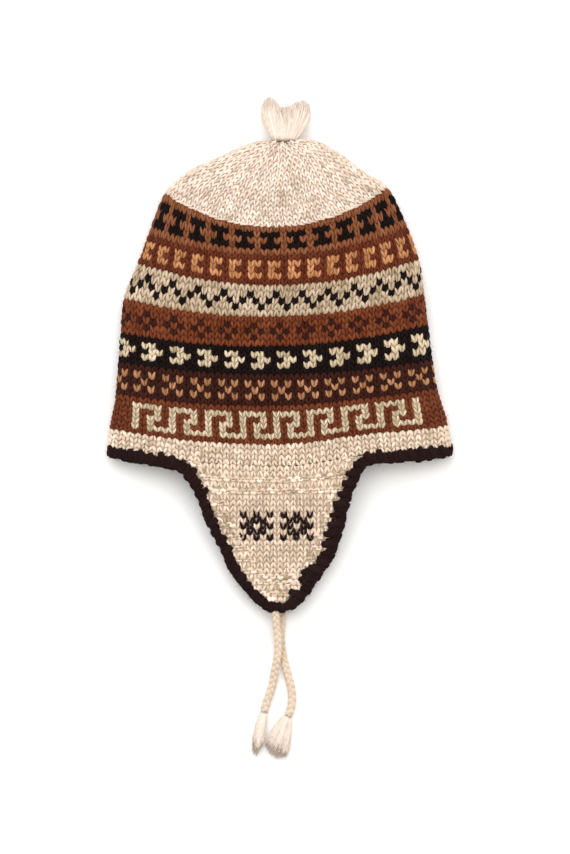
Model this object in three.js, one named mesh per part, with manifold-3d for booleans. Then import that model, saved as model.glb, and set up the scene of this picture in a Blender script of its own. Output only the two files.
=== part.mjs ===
// A chullo, the knitted cap with ear flaps of the Andes, lying on one side as it is put down on a
// table. The crown points to +Y, both ear flaps point to -Y with one on top of the other, and the
// cap rests on the plane z = 0. Millimetres, +Z up. The origin is on the resting plane, under the
// middle of the cap measured without its ties.

import * as THREE from 'three';
import { mergeVertices } from 'three/addons/utils/BufferGeometryUtils.js';
import Module from 'manifold-3d';

const wasm = await Module();
wasm.setup();

// Sizes of the knitted body, as it lies
const bodyHeight = 255; // middle of the hem to the gathered top
const bodyHalfWidth = 131.5; // middle of the hem to a side fold
const bodyRise = 42; // resting face to the highest stretch of the upper layer
const wall = 4; // thickness of the knitting
const topShift = 3; // how far the gathered top lies to the right of the middle
const upperSquareness = 2.15; // 2 makes the upper layer half an ellipse, more makes it flatter
const lowerSquareness = 3.4;
const restingShare = 1.06; // above 1, the lower layer is pressed flat where it rests
const gatherCount = 8;
const gatherDepth = 1.1;
const gatherReach = 16;

// Sizes of the ear flaps and of the crocheted edging
const flapLength = 105.3; // middle of the hem to the tip
const flapHalfWidth = 78; // at the root, to the side that reaches farther
const flapSag = 2; // how far the middle of the upper flap sinks between its edges
const edgingDiameter = 8;
const seamGap = 0.4; // between pieces that are worked or sewn to each other

// Sizes of the ties and tufts
const tieDiameter = 6.5;
const tieTuftLength = 34; // middle of the knot to the end of the longest lock
const tieTuftSpread = 8;
const tieTuftLockRadius = 3.4;
const tieKnotRadius = 4.2;
const topTuftLength = 28;
const topTuftSpread = 13;
const topTuftLockRadius = 6;
const topKnotRadius = 7;

// How finely the solids are cut
const wales = 48; // points round the body, a multiple of four
const tracePoints = 120; // points that trace a quarter of a course
const flapColumns = 14;
const edgingSides = 8;
const edgingStep = 11;
const edgingTurn = 24; // degrees that the edging may bend before it gets another section
const tieSides = 8;
const tieSteps = 26;
const lockSides = 6;
const lockSteps = 4;

// Courses of knitting, counted from the hem to the gathered top. left and right are shares of
// bodyHalfWidth. leftUp, rightUp and middleUp are shares of bodyHeight, and so is bow, the
// height by which the right half of a course rises above its arc. fold, top and base are shares
// of bodyRise: the heights of the side folds and of the middle of the upper and lower layers.
const courseColumns = ['course', 'left', 'right', 'leftUp', 'rightUp', 'middleUp', 'bow', 'fold', 'top', 'base'];
const courseTable = [
  [0, 1.024, 1.018, 0.060, 0.061, 0, 0.020, 0.25, 0.66, 0],
  [4, 1.009, 0.997, 0.116, 0.127, 0.067, 0.014, 0.27, 0.74, 0],
  [11, 0.974, 0.932, 0.223, 0.240, 0.185, 0.004, 0.29, 0.85, 0],
  [16, 0.959, 0.905, 0.321, 0.327, 0.280, 0, 0.30, 0.92, 0],
  [21, 0.945, 0.878, 0.410, 0.433, 0.367, 0, 0.30, 0.97, 0],
  [26, 0.924, 0.854, 0.514, 0.527, 0.457, 0, 0.30, 1, 0],
  [31, 0.842, 0.822, 0.621, 0.633, 0.551, 0, 0.30, 1, 0],
  [36, 0.778, 0.754, 0.710, 0.732, 0.643, 0, 0.30, 0.99, 0],
  [41, 0.680, 0.635, 0.835, 0.852, 0.729, 0, 0.30, 0.96, 0],
  [45, 0.563, 0.504, 0.895, 0.899, 0.790, 0, 0.30, 0.92, 0],
  [50, 0.380, 0.353, 0.940, 0.954, 0.867, 0, 0.31, 0.82, 0],
  [54, 0.226, 0.240, 0.976, 0.989, 0.928, 0, 0.33, 0.67, 0],
  [57, 0.110, 0.134, 0.993, 0.998, 0.972, 0, 0.35, 0.54, 0.10],
  [59, 0.030, 0.060, 0.998, 0.999, 0.994, 0, 0.36, 0.43, 0.27],
];
const topCourse = 60;
const bodyCourses = [0, 3, 7, 11, 16, 21, 26, 31, 35, 38, 41, 43, 45, 48, 51, 54, 56, 58, 59];

// Outline of an ear flap. down is a share of flapLength, left and right of flapHalfWidth.
const flapColumnNames = ['down', 'left', 'right'];
const flapTable = [
  [0, 1, 0.860],
  [0.02, 0.920, 0.780],
  [0.04, 0.885, 0.750],
  [0.07, 0.850, 0.726],
  [0.10, 0.820, 0.700],
  [0.17, 0.755, 0.640],
  [0.25, 0.705, 0.595],
  [0.35, 0.665, 0.560],
  [0.43, 0.610, 0.535],
  [0.53, 0.540, 0.495],
  [0.62, 0.485, 0.455],
  [0.72, 0.426, 0.376],
  [0.81, 0.350, 0.285],
  [0.88, 0.270, 0.226],
  [0.95, 0.180, 0.160],
  [1, 0.090, 0.080],
];
const flapSmileEnds = 0.28; // share of flapLength past which the rows of a flap run straight
const flapLands = 0.8; // share of flapLength past which the upper flap lies on the lower one

// Routes of the two ties from the tip of a flap: across to the right, down the page, and the
// level, 1 for the height at the flap's tip and 0 for lying on the table. Chosen by hand.
const upperTieRoute = [
  [-2.9, 0, 1], [-2.7, 5, 0.94], [-2.2, 11, 0.8], [-1.3, 17, 0.73], [-0.8, 23, 0.72],
  [-0.9, 29, 0.7], [-1.7, 35, 0.6], [-2.8, 41, 0.4], [-3.9, 47, 0.18], [-4.9, 53, 0.05],
  [-6.4, 59, 0.01], [-8.4, 65, 0], [-10.2, 70, 0], [-11.6, 75, 0], [-12.3, 78, 0],
];
const lowerTieRoute = [
  [2.3, 0, 0], [2.0, 5, 0], [1.4, 11, 0], [1.1, 17, 0], [1.3, 23, 0], [2.1, 29, 0], [3.2, 35, 0],
  [4.6, 41, 0], [6.3, 47, 0], [7.9, 53, 0], [9.2, 59, 0], [9.8, 65, 0], [9.5, 71, 0],
  [8.3, 76, 0], [6.4, 81, 0],
];

const yarn = {
  cream: new THREE.MeshStandardMaterial({ color: 0xe2d1b9, roughness: 0.95, metalness: 0 }),
  patterned: new THREE.MeshStandardMaterial({ color: 0x7d4c33, roughness: 0.95, metalness: 0 }),
  blackBrown: new THREE.MeshStandardMaterial({ color: 0x261917, roughness: 0.95, metalness: 0 }),
  undyed: new THREE.MeshStandardMaterial({ color: 0xe9dfd0, roughness: 0.95, metalness: 0 }),
};

const up = new THREE.Vector3(0, 0, 1);
const towardsTop = new THREE.Vector3(0, 1, 0);
const downPage = new THREE.Vector3(0, -1, 0);

// Reads a column of a table at any place of its first column, along a smooth curve through
// the rows.
function columnAt(table, columns, name, place) {
  const column = columns.indexOf(name);
  const last = table.length - 1;
  const after = Math.min(Math.max(table.findIndex((row) => row[0] >= place), 1), last);
  const before = table[after - 1];
  const next = table[after];
  const slope = (i) => {
    const low = table[Math.max(i - 1, 0)];
    const high = table[Math.min(i + 1, last)];
    return (high[column] - low[column]) / (high[0] - low[0]);
  };
  const span = next[0] - before[0];
  const t = (place - before[0]) / span;
  const rise = next[column] - before[column];
  const bend = (t * t * (3 - 2 * t)) * rise;
  const leaving = slope(after - 1) * span * t * (1 - t) * (1 - t);
  const arriving = slope(after) * span * t * t * (1 - t);
  return before[column] + bend + leaving - arriving;
}

function smoothStep(from, to, value) {
  return THREE.MathUtils.smoothstep(value, from, to);
}

// The sizes of one course, in millimetres
function courseAt(course) {
  const read = (name) => columnAt(courseTable, courseColumns, name, course);
  const shift = topShift * smoothStep(0.6, 1, course / topCourse);
  return {
    left: new THREE.Vector2(-read('left') * bodyHalfWidth, read('leftUp') * bodyHeight),
    right: new THREE.Vector2(read('right') * bodyHalfWidth, read('rightUp') * bodyHeight),
    middle: new THREE.Vector2(shift, read('middleUp') * bodyHeight),
    bow: read('bow') * bodyHeight,
    fold: read('fold') * bodyRise,
    top: read('top') * bodyRise,
    base: read('base') * bodyRise,
  };
}

// The circle through three points, as a function of the share from the first to the last
function arcThrough(first, second, last) {
  const [a, b, c] = [first, second, last];
  const [aa, bb, cc] = [a.lengthSq(), b.lengthSq(), c.lengthSq()];
  const area = 2 * (a.x * (b.y - c.y) + b.x * (c.y - a.y) + c.x * (a.y - b.y));
  const centre = new THREE.Vector2(
    (aa * (b.y - c.y) + bb * (c.y - a.y) + cc * (a.y - b.y)) / area,
    (aa * (c.x - b.x) + bb * (a.x - c.x) + cc * (b.x - a.x)) / area,
  );
  const radius = a.distanceTo(centre);
  const start = Math.atan2(a.y - centre.y, a.x - centre.x);
  const end = Math.atan2(c.y - centre.y, c.x - centre.x);
  return (share) => {
    const angle = start + (end - start) * share;
    return new THREE.Vector2(centre.x + radius * Math.cos(angle), centre.y + radius * Math.sin(angle));
  };
}

// A point of a course on the outside of the body. turn is 0 at the right fold, a quarter turn
// in the middle of the upper layer and half a turn at the left fold.
function coursePoint(course, arc, turn) {
  const across = Math.cos(turn);
  const upper = Math.sin(turn) >= 0;
  const power = 2 / (upper ? upperSquareness : lowerSquareness);
  const side = Math.sign(across) * Math.abs(across) ** power;
  const swell = Math.abs(Math.sin(turn)) ** power;
  const flat = arc((1 - side) / 2);
  const bow = side > 0 ? course.bow * Math.sin(Math.PI * side) ** 2 : 0;
  const height = upper
    ? course.fold + (course.top - course.fold) * swell
    : course.fold - (course.fold - course.base) * Math.min(1, restingShare * swell);
  return new THREE.Vector3(flat.x, flat.y + bow, height);
}

// Points at equal steps along a quarter of a course, without its last point
function quarterOfCourse(course, arc, quarter, count) {
  const trace = [];
  for (let i = 0; i <= tracePoints; i += 1) {
    trace.push(coursePoint(course, arc, (quarter + i / tracePoints) * Math.PI / 2));
  }
  const reached = [0];
  for (let i = 1; i < trace.length; i += 1) {
    reached.push(reached[i - 1] + trace[i].distanceTo(trace[i - 1]));
  }
  const points = [];
  for (let i = 0; i < count; i += 1) {
    const wanted = (reached[tracePoints] * i) / count;
    const next = Math.max(1, reached.findIndex((length) => length >= wanted));
    const t = (wanted - reached[next - 1]) / (reached[next] - reached[next - 1]);
    points.push(trace[next - 1].clone().lerp(trace[next], t));
  }
  return points;
}

function courseRing(number, count) {
  const course = courseAt(number);
  const arc = arcThrough(course.right, course.middle, course.left);
  return [0, 1, 2, 3].flatMap((quarter) => quarterOfCourse(course, arc, quarter, count / 4));
}

// Outward normals of a grid of closed rings, with the pole that the last ring closes on
function ringNormals(rings, pole) {
  return rings.map((ring, j) => ring.map((point, i) => {
    const count = ring.length;
    const along = ring[(i + 1) % count].clone().sub(ring[(i + count - 1) % count]);
    const before = rings[Math.max(j - 1, 0)][i];
    const after = j + 1 < rings.length ? rings[j + 1][i] : pole;
    const upward = after.clone().sub(before);
    return along.cross(upward).normalize().negate();
  }));
}

// Turns triangles of numbered points into a geometry whose faces point outwards
function solidFrom(points, triangles) {
  const geometry = new THREE.BufferGeometry().setFromPoints(points);
  let volume = 0;
  for (const [a, b, c] of triangles) {
    volume += points[a].dot(points[b].clone().cross(points[c])) / 6;
  }
  const facing = volume > 0 ? triangles : triangles.map(([a, b, c]) => [a, c, b]);
  geometry.setIndex(facing.flat());
  geometry.computeVertexNormals();
  return geometry;
}

// Two triangles for each cell between two rows of numbered points
function strip(lower, upper, closed) {
  const triangles = [];
  const cells = closed ? lower.length : lower.length - 1;
  for (let i = 0; i < cells; i += 1) {
    const n = (i + 1) % lower.length;
    triangles.push([lower[i], lower[n], upper[n]], [lower[i], upper[n], upper[i]]);
  }
  return triangles;
}

function numbered(count, from) {
  return Array.from({ length: count }, (_, i) => from + i);
}

// A cup with a wall: rings of points outside and inside, a pole for each, and a rim that joins
// the first rings
function cupSolid(outer, outerPole, inner, innerPole) {
  const count = outer[0].length;
  const points = [...outer.flat(), outerPole, ...inner.flat(), innerPole];
  const insideStart = outer.length * count + 1;
  const outerRows = outer.map((_, j) => numbered(count, j * count));
  const innerRows = inner.map((_, j) => numbered(count, insideStart + j * count));
  const triangles = [];
  for (let j = 0; j + 1 < outer.length; j += 1) {
    triangles.push(...strip(outerRows[j], outerRows[j + 1], true));
    triangles.push(...strip(innerRows[j + 1], innerRows[j], true));
  }
  triangles.push(...strip(innerRows[0], outerRows[0], true));
  const [outerLast, innerLast] = [outerRows.at(-1), innerRows.at(-1)];
  const [outerTip, innerTip] = [insideStart - 1, points.length - 1];
  for (let i = 0; i < count; i += 1) {
    const n = (i + 1) % count;
    triangles.push([outerLast[i], outerLast[n], outerTip], [innerLast[n], innerLast[i], innerTip]);
  }
  return solidFrom(points, triangles);
}

// The outside of the body, with the gathers that pull towards the top
const bodyTop = new THREE.Vector3(topShift, bodyHeight, courseAt(topCourse - 1).fold);
const bodyRings = bodyCourses.map((course) => courseRing(course, wales));
const plainNormals = ringNormals(bodyRings, bodyTop);
const outerRings = bodyRings.map((ring, j) => ring.map((point, i) => {
  const nearness = Math.exp(-point.distanceTo(bodyTop) / gatherReach) * (bodyCourses[j] > 0);
  const gather = gatherDepth * nearness * Math.cos((gatherCount * i * 2 * Math.PI) / wales);
  const gathered = point.clone().addScaledVector(plainNormals[j][i], gather);
  return gathered.setZ(Math.max(gathered.z, 0));
}));
const outerNormals = ringNormals(outerRings, bodyTop);
// The rim of the hem is square to the page, so that the flaps and the edging can lie against it
outerNormals[0].forEach((normal) => normal.setY(0).normalize());

function knittedBody() {
  const innerRings = outerRings.map((ring, j) => ring.map((point, i) => (
    point.clone().addScaledVector(outerNormals[j][i], -wall)
  )));
  const innerTop = bodyTop.clone().addScaledVector(towardsTop, -wall);
  return cupSolid(outerRings, bodyTop, innerRings, innerTop);
}

// The hem, halfway through the wall, at fine steps from the right fold over the upper layer,
// the left fold and the lower layer
const hemCount = wales * 8;
const hemOutside = courseRing(0, hemCount);
const hemNormals = ringNormals([hemOutside, courseRing(1, hemCount)], bodyTop)[0];
const hem = hemOutside.map((point, i) => {
  const normal = hemNormals[i].setY(0).normalize();
  return { point: point.clone().addScaledVector(normal, -wall / 2), normal };
});

// The place of the hem at a distance across, on the upper or lower layer
function hemAcross(across, upper) {
  const half = hemCount / 2;
  const layer = upper ? hem.slice(0, half + 1) : [...hem.slice(half), hem[0]].reverse();
  const next = Math.max(1, layer.findIndex((place) => place.point.x <= across));
  const [a, b] = [layer[next - 1], layer[next]];
  const t = (across - a.point.x) / (b.point.x - a.point.x);
  return {
    point: a.point.clone().lerp(b.point, t),
    normal: a.normal.clone().lerp(b.normal, t).normalize(),
    index: (upper ? next - 1 + t : hemCount - (next - 1 + t)),
  };
}

const edgingRadius = edgingDiameter / 2;
const lowerFlapLevel = wall / 2;
const upperFlapLevel = edgingDiameter + seamGap + edgingRadius;

// Middle of a flap's thickness: rows from the hem down to the tip, points from left to right
function flapGrid(upper) {
  return flapTable.map((row) => {
    const [down, left, right] = flapColumnNames.map((_, i) => row[i]);
    const points = [];
    for (let i = 0; i <= flapColumns; i += 1) {
      const share = i / flapColumns;
      const across = THREE.MathUtils.lerp(-left, right, share) * flapHalfWidth;
      const root = hemAcross(across, upper).point;
      const smile = root.y * (1 - smoothStep(0, flapSmileEnds, down));
      const landed = smoothStep(0, flapLands, down);
      const sag = upper ? flapSag * landed * Math.sin(Math.PI * share) * (1 - down) : 0;
      const level = upper ? upperFlapLevel : lowerFlapLevel;
      const height = THREE.MathUtils.lerp(root.z, level, landed) - sag;
      points.push(new THREE.Vector3(across, smile - seamGap - down * flapLength, height));
    }
    return points;
  });
}

function gridNormals(grid) {
  return grid.map((row, j) => row.map((_, i) => {
    const across = row[Math.min(i + 1, row.length - 1)].clone().sub(row[Math.max(i - 1, 0)]);
    const below = grid[Math.min(j + 1, grid.length - 1)][i];
    const above = grid[Math.max(j - 1, 0)][i];
    return across.cross(above.clone().sub(below)).normalize();
  }));
}

// A sheet with a thickness, from a grid of points halfway through it
function sheetSolid(grid, normals, thickness) {
  const columns = grid[0].length;
  const shifted = (amount) => grid.map((row, j) => row.map((point, i) => (
    point.clone().addScaledVector(normals[j][i], amount)
  )));
  const [face, back] = [shifted(thickness / 2), shifted(-thickness / 2)];
  const points = [...face.flat(), ...back.flat()];
  const faceRows = face.map((_, j) => numbered(columns, j * columns));
  const backRows = face.map((_, j) => numbered(columns, (face.length + j) * columns));
  const triangles = [];
  for (let j = 0; j + 1 < grid.length; j += 1) {
    triangles.push(...strip(faceRows[j + 1], faceRows[j], false));
    triangles.push(...strip(backRows[j], backRows[j + 1], false));
  }
  const column = (rows, i) => rows.map((row) => row[i]);
  triangles.push(...strip(faceRows[0], backRows[0], false));
  triangles.push(...strip(backRows.at(-1), faceRows.at(-1), false));
  triangles.push(...strip(column(backRows, 0), column(faceRows, 0), false));
  triangles.push(...strip(column(faceRows, columns - 1), column(backRows, columns - 1), false));
  return solidFrom(points, triangles);
}

function earFlap(upper) {
  const grid = flapGrid(upper);
  const normals = gridNormals(grid);
  normals[0].forEach((normal) => normal.setY(0).normalize());
  return sheetSolid(grid, normals, wall);
}

// Places along the outline of a flap, down one side, round the tip and up the other
function flapOutline(upper, fromRight) {
  const grid = flapGrid(upper);
  const facing = up.clone().multiplyScalar(upper ? 1 : -1);
  const normals = gridNormals(grid).map((row) => row.map((n) => n.multiplyScalar(facing.z)));
  const side = (column) => grid.map((row, j) => ({ point: row[column], normal: normals[j][column] }));
  const [left, right] = [side(0), side(flapColumns)];
  const [down, back] = fromRight ? [right, left] : [left, right];
  return [...down.slice(1), ...back.slice(1).reverse()];
}

// A place on the hem at an index that may fall between two of its points
function hemPlace(index) {
  const whole = Math.floor(index);
  const [low, high] = [whole, whole + 1].map((n) => hem[(n + hemCount) % hemCount]);
  const point = low.point.clone().lerp(high.point, index - whole);
  return {
    point: point.addScaledVector(downPage, seamGap),
    normal: low.normal.clone().lerp(high.normal, index - whole).normalize(),
  };
}

// Places along the hem from one index down to another, closer together where the hem bends
function hemStretch(from, to) {
  const step = Math.sign(to - from);
  const places = [hemPlace(from)];
  for (let index = Math.round(from) + step; (to - index) * step > 0; index += step) {
    const next = hemPlace(index);
    const last = places.at(-1);
    const far = next.point.distanceTo(last.point) >= edgingStep;
    const bent = next.normal.angleTo(last.normal) >= THREE.MathUtils.degToRad(edgingTurn);
    if (far || bent) {
      places.push(next);
    }
  }
  if (places.at(-1).point.distanceTo(hemPlace(to).point) < edgingRadius) {
    places.pop();
  }
  places.push(hemPlace(to));
  return places;
}

// The closed line that the edging is worked along: each place has its point and the direction
// away from the knitting
function edgingLine() {
  const reach = flapTable[0].slice(1).map((share) => share * flapHalfWidth);
  const corner = (upper) => [-reach[0], reach[1]].map((across) => hemAcross(across, upper).index);
  const [upperLeft, upperRight] = corner(true);
  const [lowerLeft, lowerRight] = corner(false);
  const places = [
    ...hemStretch(upperRight, lowerRight - hemCount),
    ...flapOutline(false, true),
    ...hemStretch(lowerLeft, upperLeft),
    ...flapOutline(true, false),
  ];
  const count = places.length;
  return places.map(({ point, normal }, i) => {
    const arriving = point.clone().sub(places[(i + count - 1) % count].point).normalize();
    const leaving = places[(i + 1) % count].point.clone().sub(point).normalize();
    const outward = arriving.clone().add(leaving).normalize().cross(normal).normalize();
    const mitre = 1 / Math.sqrt((1 + arriving.dot(leaving)) / 2);
    return { point, normal, outward, mitre };
  });
}

// A closed tube. Each station has its centre and two directions across the tube.
function loopTube(stations, radius, sides) {
  const points = stations.flatMap(({ centre, outward, normal }) => (
    numbered(sides, 0).map((k) => {
      const angle = (2 * Math.PI * k) / sides;
      return centre.clone()
        .addScaledVector(outward, radius * Math.cos(angle))
        .addScaledVector(normal, radius * Math.sin(angle));
    })
  ));
  const rows = stations.map((_, j) => numbered(sides, j * sides));
  const triangles = rows.flatMap((row, j) => strip(row, rows[(j + 1) % rows.length], true));
  return solidFrom(points, triangles);
}

const edgingStations = edgingLine().map(({ point, normal, outward, mitre }) => {
  const centre = point.clone().addScaledVector(outward, (edgingRadius + seamGap) * mitre);
  centre.z = Math.max(centre.z, edgingRadius);
  return { centre, outward, normal: normal.clone() };
});

function crochetedEdging() {
  return loopTube(edgingStations, edgingRadius, edgingSides);
}

// The middle of the edging at the tip of the upper or lower flap
function flapTip(upper) {
  const lastRow = flapGrid(upper).at(-1);
  const tip = lastRow[0].clone().lerp(lastRow.at(-1), 0.5);
  tip.addScaledVector(downPage, seamGap + edgingRadius);
  return tip.setZ(Math.max(tip.z, edgingRadius));
}

function tiePoints(route, upper) {
  const tip = flapTip(upper);
  const onTable = tieDiameter / 2;
  const onOther = Math.max(tip.z, onTable + tieDiameter + seamGap);
  const start = edgingRadius + seamGap;
  return route.map(([across, down, level]) => new THREE.Vector3(
    tip.x + across,
    tip.y - start - down,
    THREE.MathUtils.lerp(onTable, onOther, level),
  ));
}

const tieRoutes = {
  upper: new THREE.CatmullRomCurve3(tiePoints(upperTieRoute, true)),
  lower: new THREE.CatmullRomCurve3(tiePoints(lowerTieRoute, false)),
};

function roundSection(radius, sides) {
  const corners = numbered(sides, 0).map((k) => {
    const angle = (2 * Math.PI * (k + 0.5)) / sides;
    return new THREE.Vector2(radius * Math.cos(angle), radius * Math.sin(angle));
  });
  return new THREE.Shape(corners);
}

function tieCord(route) {
  const tube = new THREE.ExtrudeGeometry(roundSection(tieDiameter / 2, tieSides), {
    steps: tieSteps,
    extrudePath: route,
    bevelEnabled: false,
  });
  return closedCopy(tube);
}

function closedCopy(geometry) {
  const copy = geometry.clone();
  copy.deleteAttribute('normal');
  copy.deleteAttribute('uv');
  return mergeVertices(copy);
}

function toManifold(geometry) {
  const closed = closedCopy(geometry);
  return new wasm.Manifold(new wasm.Mesh({
    numProp: 3,
    vertProperties: new Float32Array(closed.attributes.position.array),
    triVerts: new Uint32Array(closed.index.array),
  }));
}

function fromManifold(manifold) {
  const mesh = manifold.getMesh();
  const geometry = new THREE.BufferGeometry();
  geometry.setAttribute('position', new THREE.BufferAttribute(mesh.vertProperties.slice(), 3));
  geometry.setIndex(Array.from(mesh.triVerts));
  geometry.computeVertexNormals();
  return geometry;
}

// One lock of a tuft: a tube along a bent line that swells and then rounds off at its free end
function tuftLock(start, middle, end, radius) {
  const line = new THREE.QuadraticBezierCurve3(start, middle, end);
  const points = [line.getPoint(0)];
  const rows = [];
  for (let j = 1; j < lockSteps + 1; j += 1) {
    const share = (j - 0.5) / lockSteps;
    const centre = line.getPoint(share);
    const ahead = line.getTangent(share);
    const sideways = ahead.clone().cross(up).normalize();
    const over = sideways.clone().cross(ahead).normalize();
    const size = radius * (0.62 + 0.75 * share) * Math.sqrt(1 - share ** 4);
    rows.push(numbered(lockSides, points.length));
    for (let k = 0; k < lockSides; k += 1) {
      const angle = (2 * Math.PI * k) / lockSides;
      const point = centre.clone().addScaledVector(sideways, size * Math.cos(angle));
      point.addScaledVector(over, size * Math.sin(angle));
      point.z = Math.max(point.z, 0);
      points.push(point);
    }
  }
  points.push(line.getPoint(1));
  const triangles = [];
  for (let k = 0; k < lockSides; k += 1) {
    const n = (k + 1) % lockSides;
    triangles.push([0, rows[0][n], rows[0][k]], [points.length - 1, rows.at(-1)[k], rows.at(-1)[n]]);
  }
  for (let j = 0; j + 1 < rows.length; j += 1) {
    triangles.push(...strip(rows[j], rows[j + 1], true));
  }
  return solidFrom(points, triangles);
}

// Locks fused to the knot that gathers them. Each row of shares gives how far a lock leans
// across and over, and how long it is.
function tuft({ root, ahead, knotRadius, length, spread, lockRadius, lockShares }) {
  const across = ahead.clone().cross(up).normalize();
  const centre = root.clone().addScaledVector(ahead, knotRadius);
  const knot = new THREE.SphereGeometry(knotRadius, 8, 6).rotateX(Math.PI / 2);
  knot.translate(centre.x, centre.y, centre.z);
  let solid = toManifold(knot);
  for (const [lean, over, reach] of lockShares) {
    const middle = centre.clone()
      .addScaledVector(ahead, length * reach * 0.45)
      .addScaledVector(across, spread * lean * 0.75);
    const end = centre.clone()
      .addScaledVector(ahead, length * reach)
      .addScaledVector(across, spread * lean);
    middle.z = Math.max(centre.z + over * lockRadius, lockRadius);
    end.z = Math.max(centre.z + over * lockRadius - length * 0.12, lockRadius * 0.6);
    solid = solid.add(toManifold(tuftLock(centre, middle, end, lockRadius)));
  }
  return fromManifold(solid);
}

const topTuftShares = [
  [-1.05, -0.5, 0.88], [-0.85, 0.6, 1.0], [-0.45, 0, 0.90], [0, -0.6, 0.80], [0.1, 0.6, 0.76],
  [0.5, 0, 0.84], [0.95, 0.5, 0.93], [1.15, -0.4, 0.78],
];
const leftTuftShares = [[-0.35, 0.2, 0.92], [-0.1, 0.6, 1], [0.15, -0.2, 0.88], [0.3, 0.4, 0.7]];
const rightTuftShares = [
  [-1.0, 0.1, 0.86], [-0.55, 0.7, 0.9], [-0.1, -0.1, 0.84], [0.4, 0.6, 0.86], [0.8, 0, 0.76],
];

function topTuft() {
  return tuft({
    root: bodyTop.clone().addScaledVector(towardsTop, seamGap),
    ahead: towardsTop,
    knotRadius: topKnotRadius,
    length: topTuftLength,
    spread: topTuftSpread,
    lockRadius: topTuftLockRadius,
    lockShares: topTuftShares,
  });
}

function tieTuft(route, lockShares) {
  const ahead = route.getTangent(1).setZ(0).normalize();
  const root = route.getPoint(1).addScaledVector(ahead, seamGap);
  root.z = tieKnotRadius;
  return tuft({
    root,
    ahead,
    knotRadius: tieKnotRadius,
    length: tieTuftLength,
    spread: tieTuftSpread,
    lockRadius: tieTuftLockRadius,
    lockShares,
  });
}

const chullo = new THREE.Group();

function addPiece(name, geometry, material) {
  const mesh = new THREE.Mesh(geometry, material);
  mesh.name = name;
  chullo.add(mesh);
}

addPiece('knitted_body', knittedBody(), yarn.patterned);
addPiece('ear_flap_upper', earFlap(true), yarn.cream);
addPiece('ear_flap_lower', earFlap(false), yarn.cream);
addPiece('crocheted_edging', crochetedEdging(), yarn.blackBrown);
addPiece('top_tuft', topTuft(), yarn.undyed);
const middle = new THREE.Box3().setFromObject(chullo, true).getCenter(new THREE.Vector3());
addPiece('tie_cord_upper', tieCord(tieRoutes.upper), yarn.cream);
addPiece('tie_cord_lower', tieCord(tieRoutes.lower), yarn.cream);
addPiece('tie_tuft_upper', tieTuft(tieRoutes.upper, leftTuftShares), yarn.undyed);
addPiece('tie_tuft_lower', tieTuft(tieRoutes.lower, rightTuftShares), yarn.undyed);
chullo.position.set(-middle.x, -middle.y, 0);

export default chullo;
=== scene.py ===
"""A knitted cap with ear flaps, lying on its side on a pale table and seen from above.

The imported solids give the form. This script works the knitting itself: every stitch of the banded
body, the crown and the flaps, the crocheted edging, the two plaited ties and the three tufts.
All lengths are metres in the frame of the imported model.
"""

import logging
import math
from dataclasses import dataclass, field
from enum import Enum
from typing import Protocol

import bpy
import numpy as np
from numpy.typing import NDArray
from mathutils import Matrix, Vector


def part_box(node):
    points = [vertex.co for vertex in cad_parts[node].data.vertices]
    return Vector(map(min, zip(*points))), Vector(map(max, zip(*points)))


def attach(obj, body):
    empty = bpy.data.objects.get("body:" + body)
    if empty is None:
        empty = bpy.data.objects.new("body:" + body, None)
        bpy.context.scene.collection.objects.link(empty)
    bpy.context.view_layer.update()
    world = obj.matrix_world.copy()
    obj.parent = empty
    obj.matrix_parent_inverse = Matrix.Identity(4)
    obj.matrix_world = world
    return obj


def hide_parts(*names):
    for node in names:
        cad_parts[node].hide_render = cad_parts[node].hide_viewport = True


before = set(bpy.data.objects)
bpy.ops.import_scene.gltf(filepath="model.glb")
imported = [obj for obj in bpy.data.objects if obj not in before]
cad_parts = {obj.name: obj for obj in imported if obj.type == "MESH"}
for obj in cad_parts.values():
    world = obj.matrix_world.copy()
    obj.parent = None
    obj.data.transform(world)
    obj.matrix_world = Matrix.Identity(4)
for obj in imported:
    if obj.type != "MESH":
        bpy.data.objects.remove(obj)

Array = NDArray[np.float64]
Numbers = NDArray[np.int64]
Marks = NDArray[np.bool_]
log = logging.getLogger("cap")

MM = 0.001

# Sizes of the cap, the same as those that its solids are worked out from
BODY_HEIGHT = 255 * MM
BODY_HALF_WIDTH = 131.5 * MM
BODY_RISE = 42 * MM
WALL = 4 * MM
TOP_SHIFT = 3 * MM
UPPER_SQUARENESS = 2.15
LOWER_SQUARENESS = 3.4
RESTING_SHARE = 1.06
GATHER_COUNT = 8
GATHER_DEPTH = 1.1 * MM
GATHER_REACH = 16 * MM
FLAP_LENGTH = 105.3 * MM
FLAP_HALF_WIDTH = 78 * MM
FLAP_SAG = 2 * MM
FLAP_SMILE_ENDS = 0.28
FLAP_LANDS = 0.8
EDGING_RADIUS = 4 * MM
SEAM_GAP = 0.4 * MM
TIE_DIAMETER = 6.5 * MM
TOP_COURSE = 60
LAST_RING = 59

# Stitches across one layer of the body, and round the whole of it
LAYER_WALES = 48
ROUND_WALES = 2 * LAYER_WALES
COURSE_HEIGHT = 4.43 * MM
STITCH_WIDTH = 5.2 * MM

# How far under the outside of the knitting its backing lies
BACKING_DEPTH = 1.75 * MM

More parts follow.
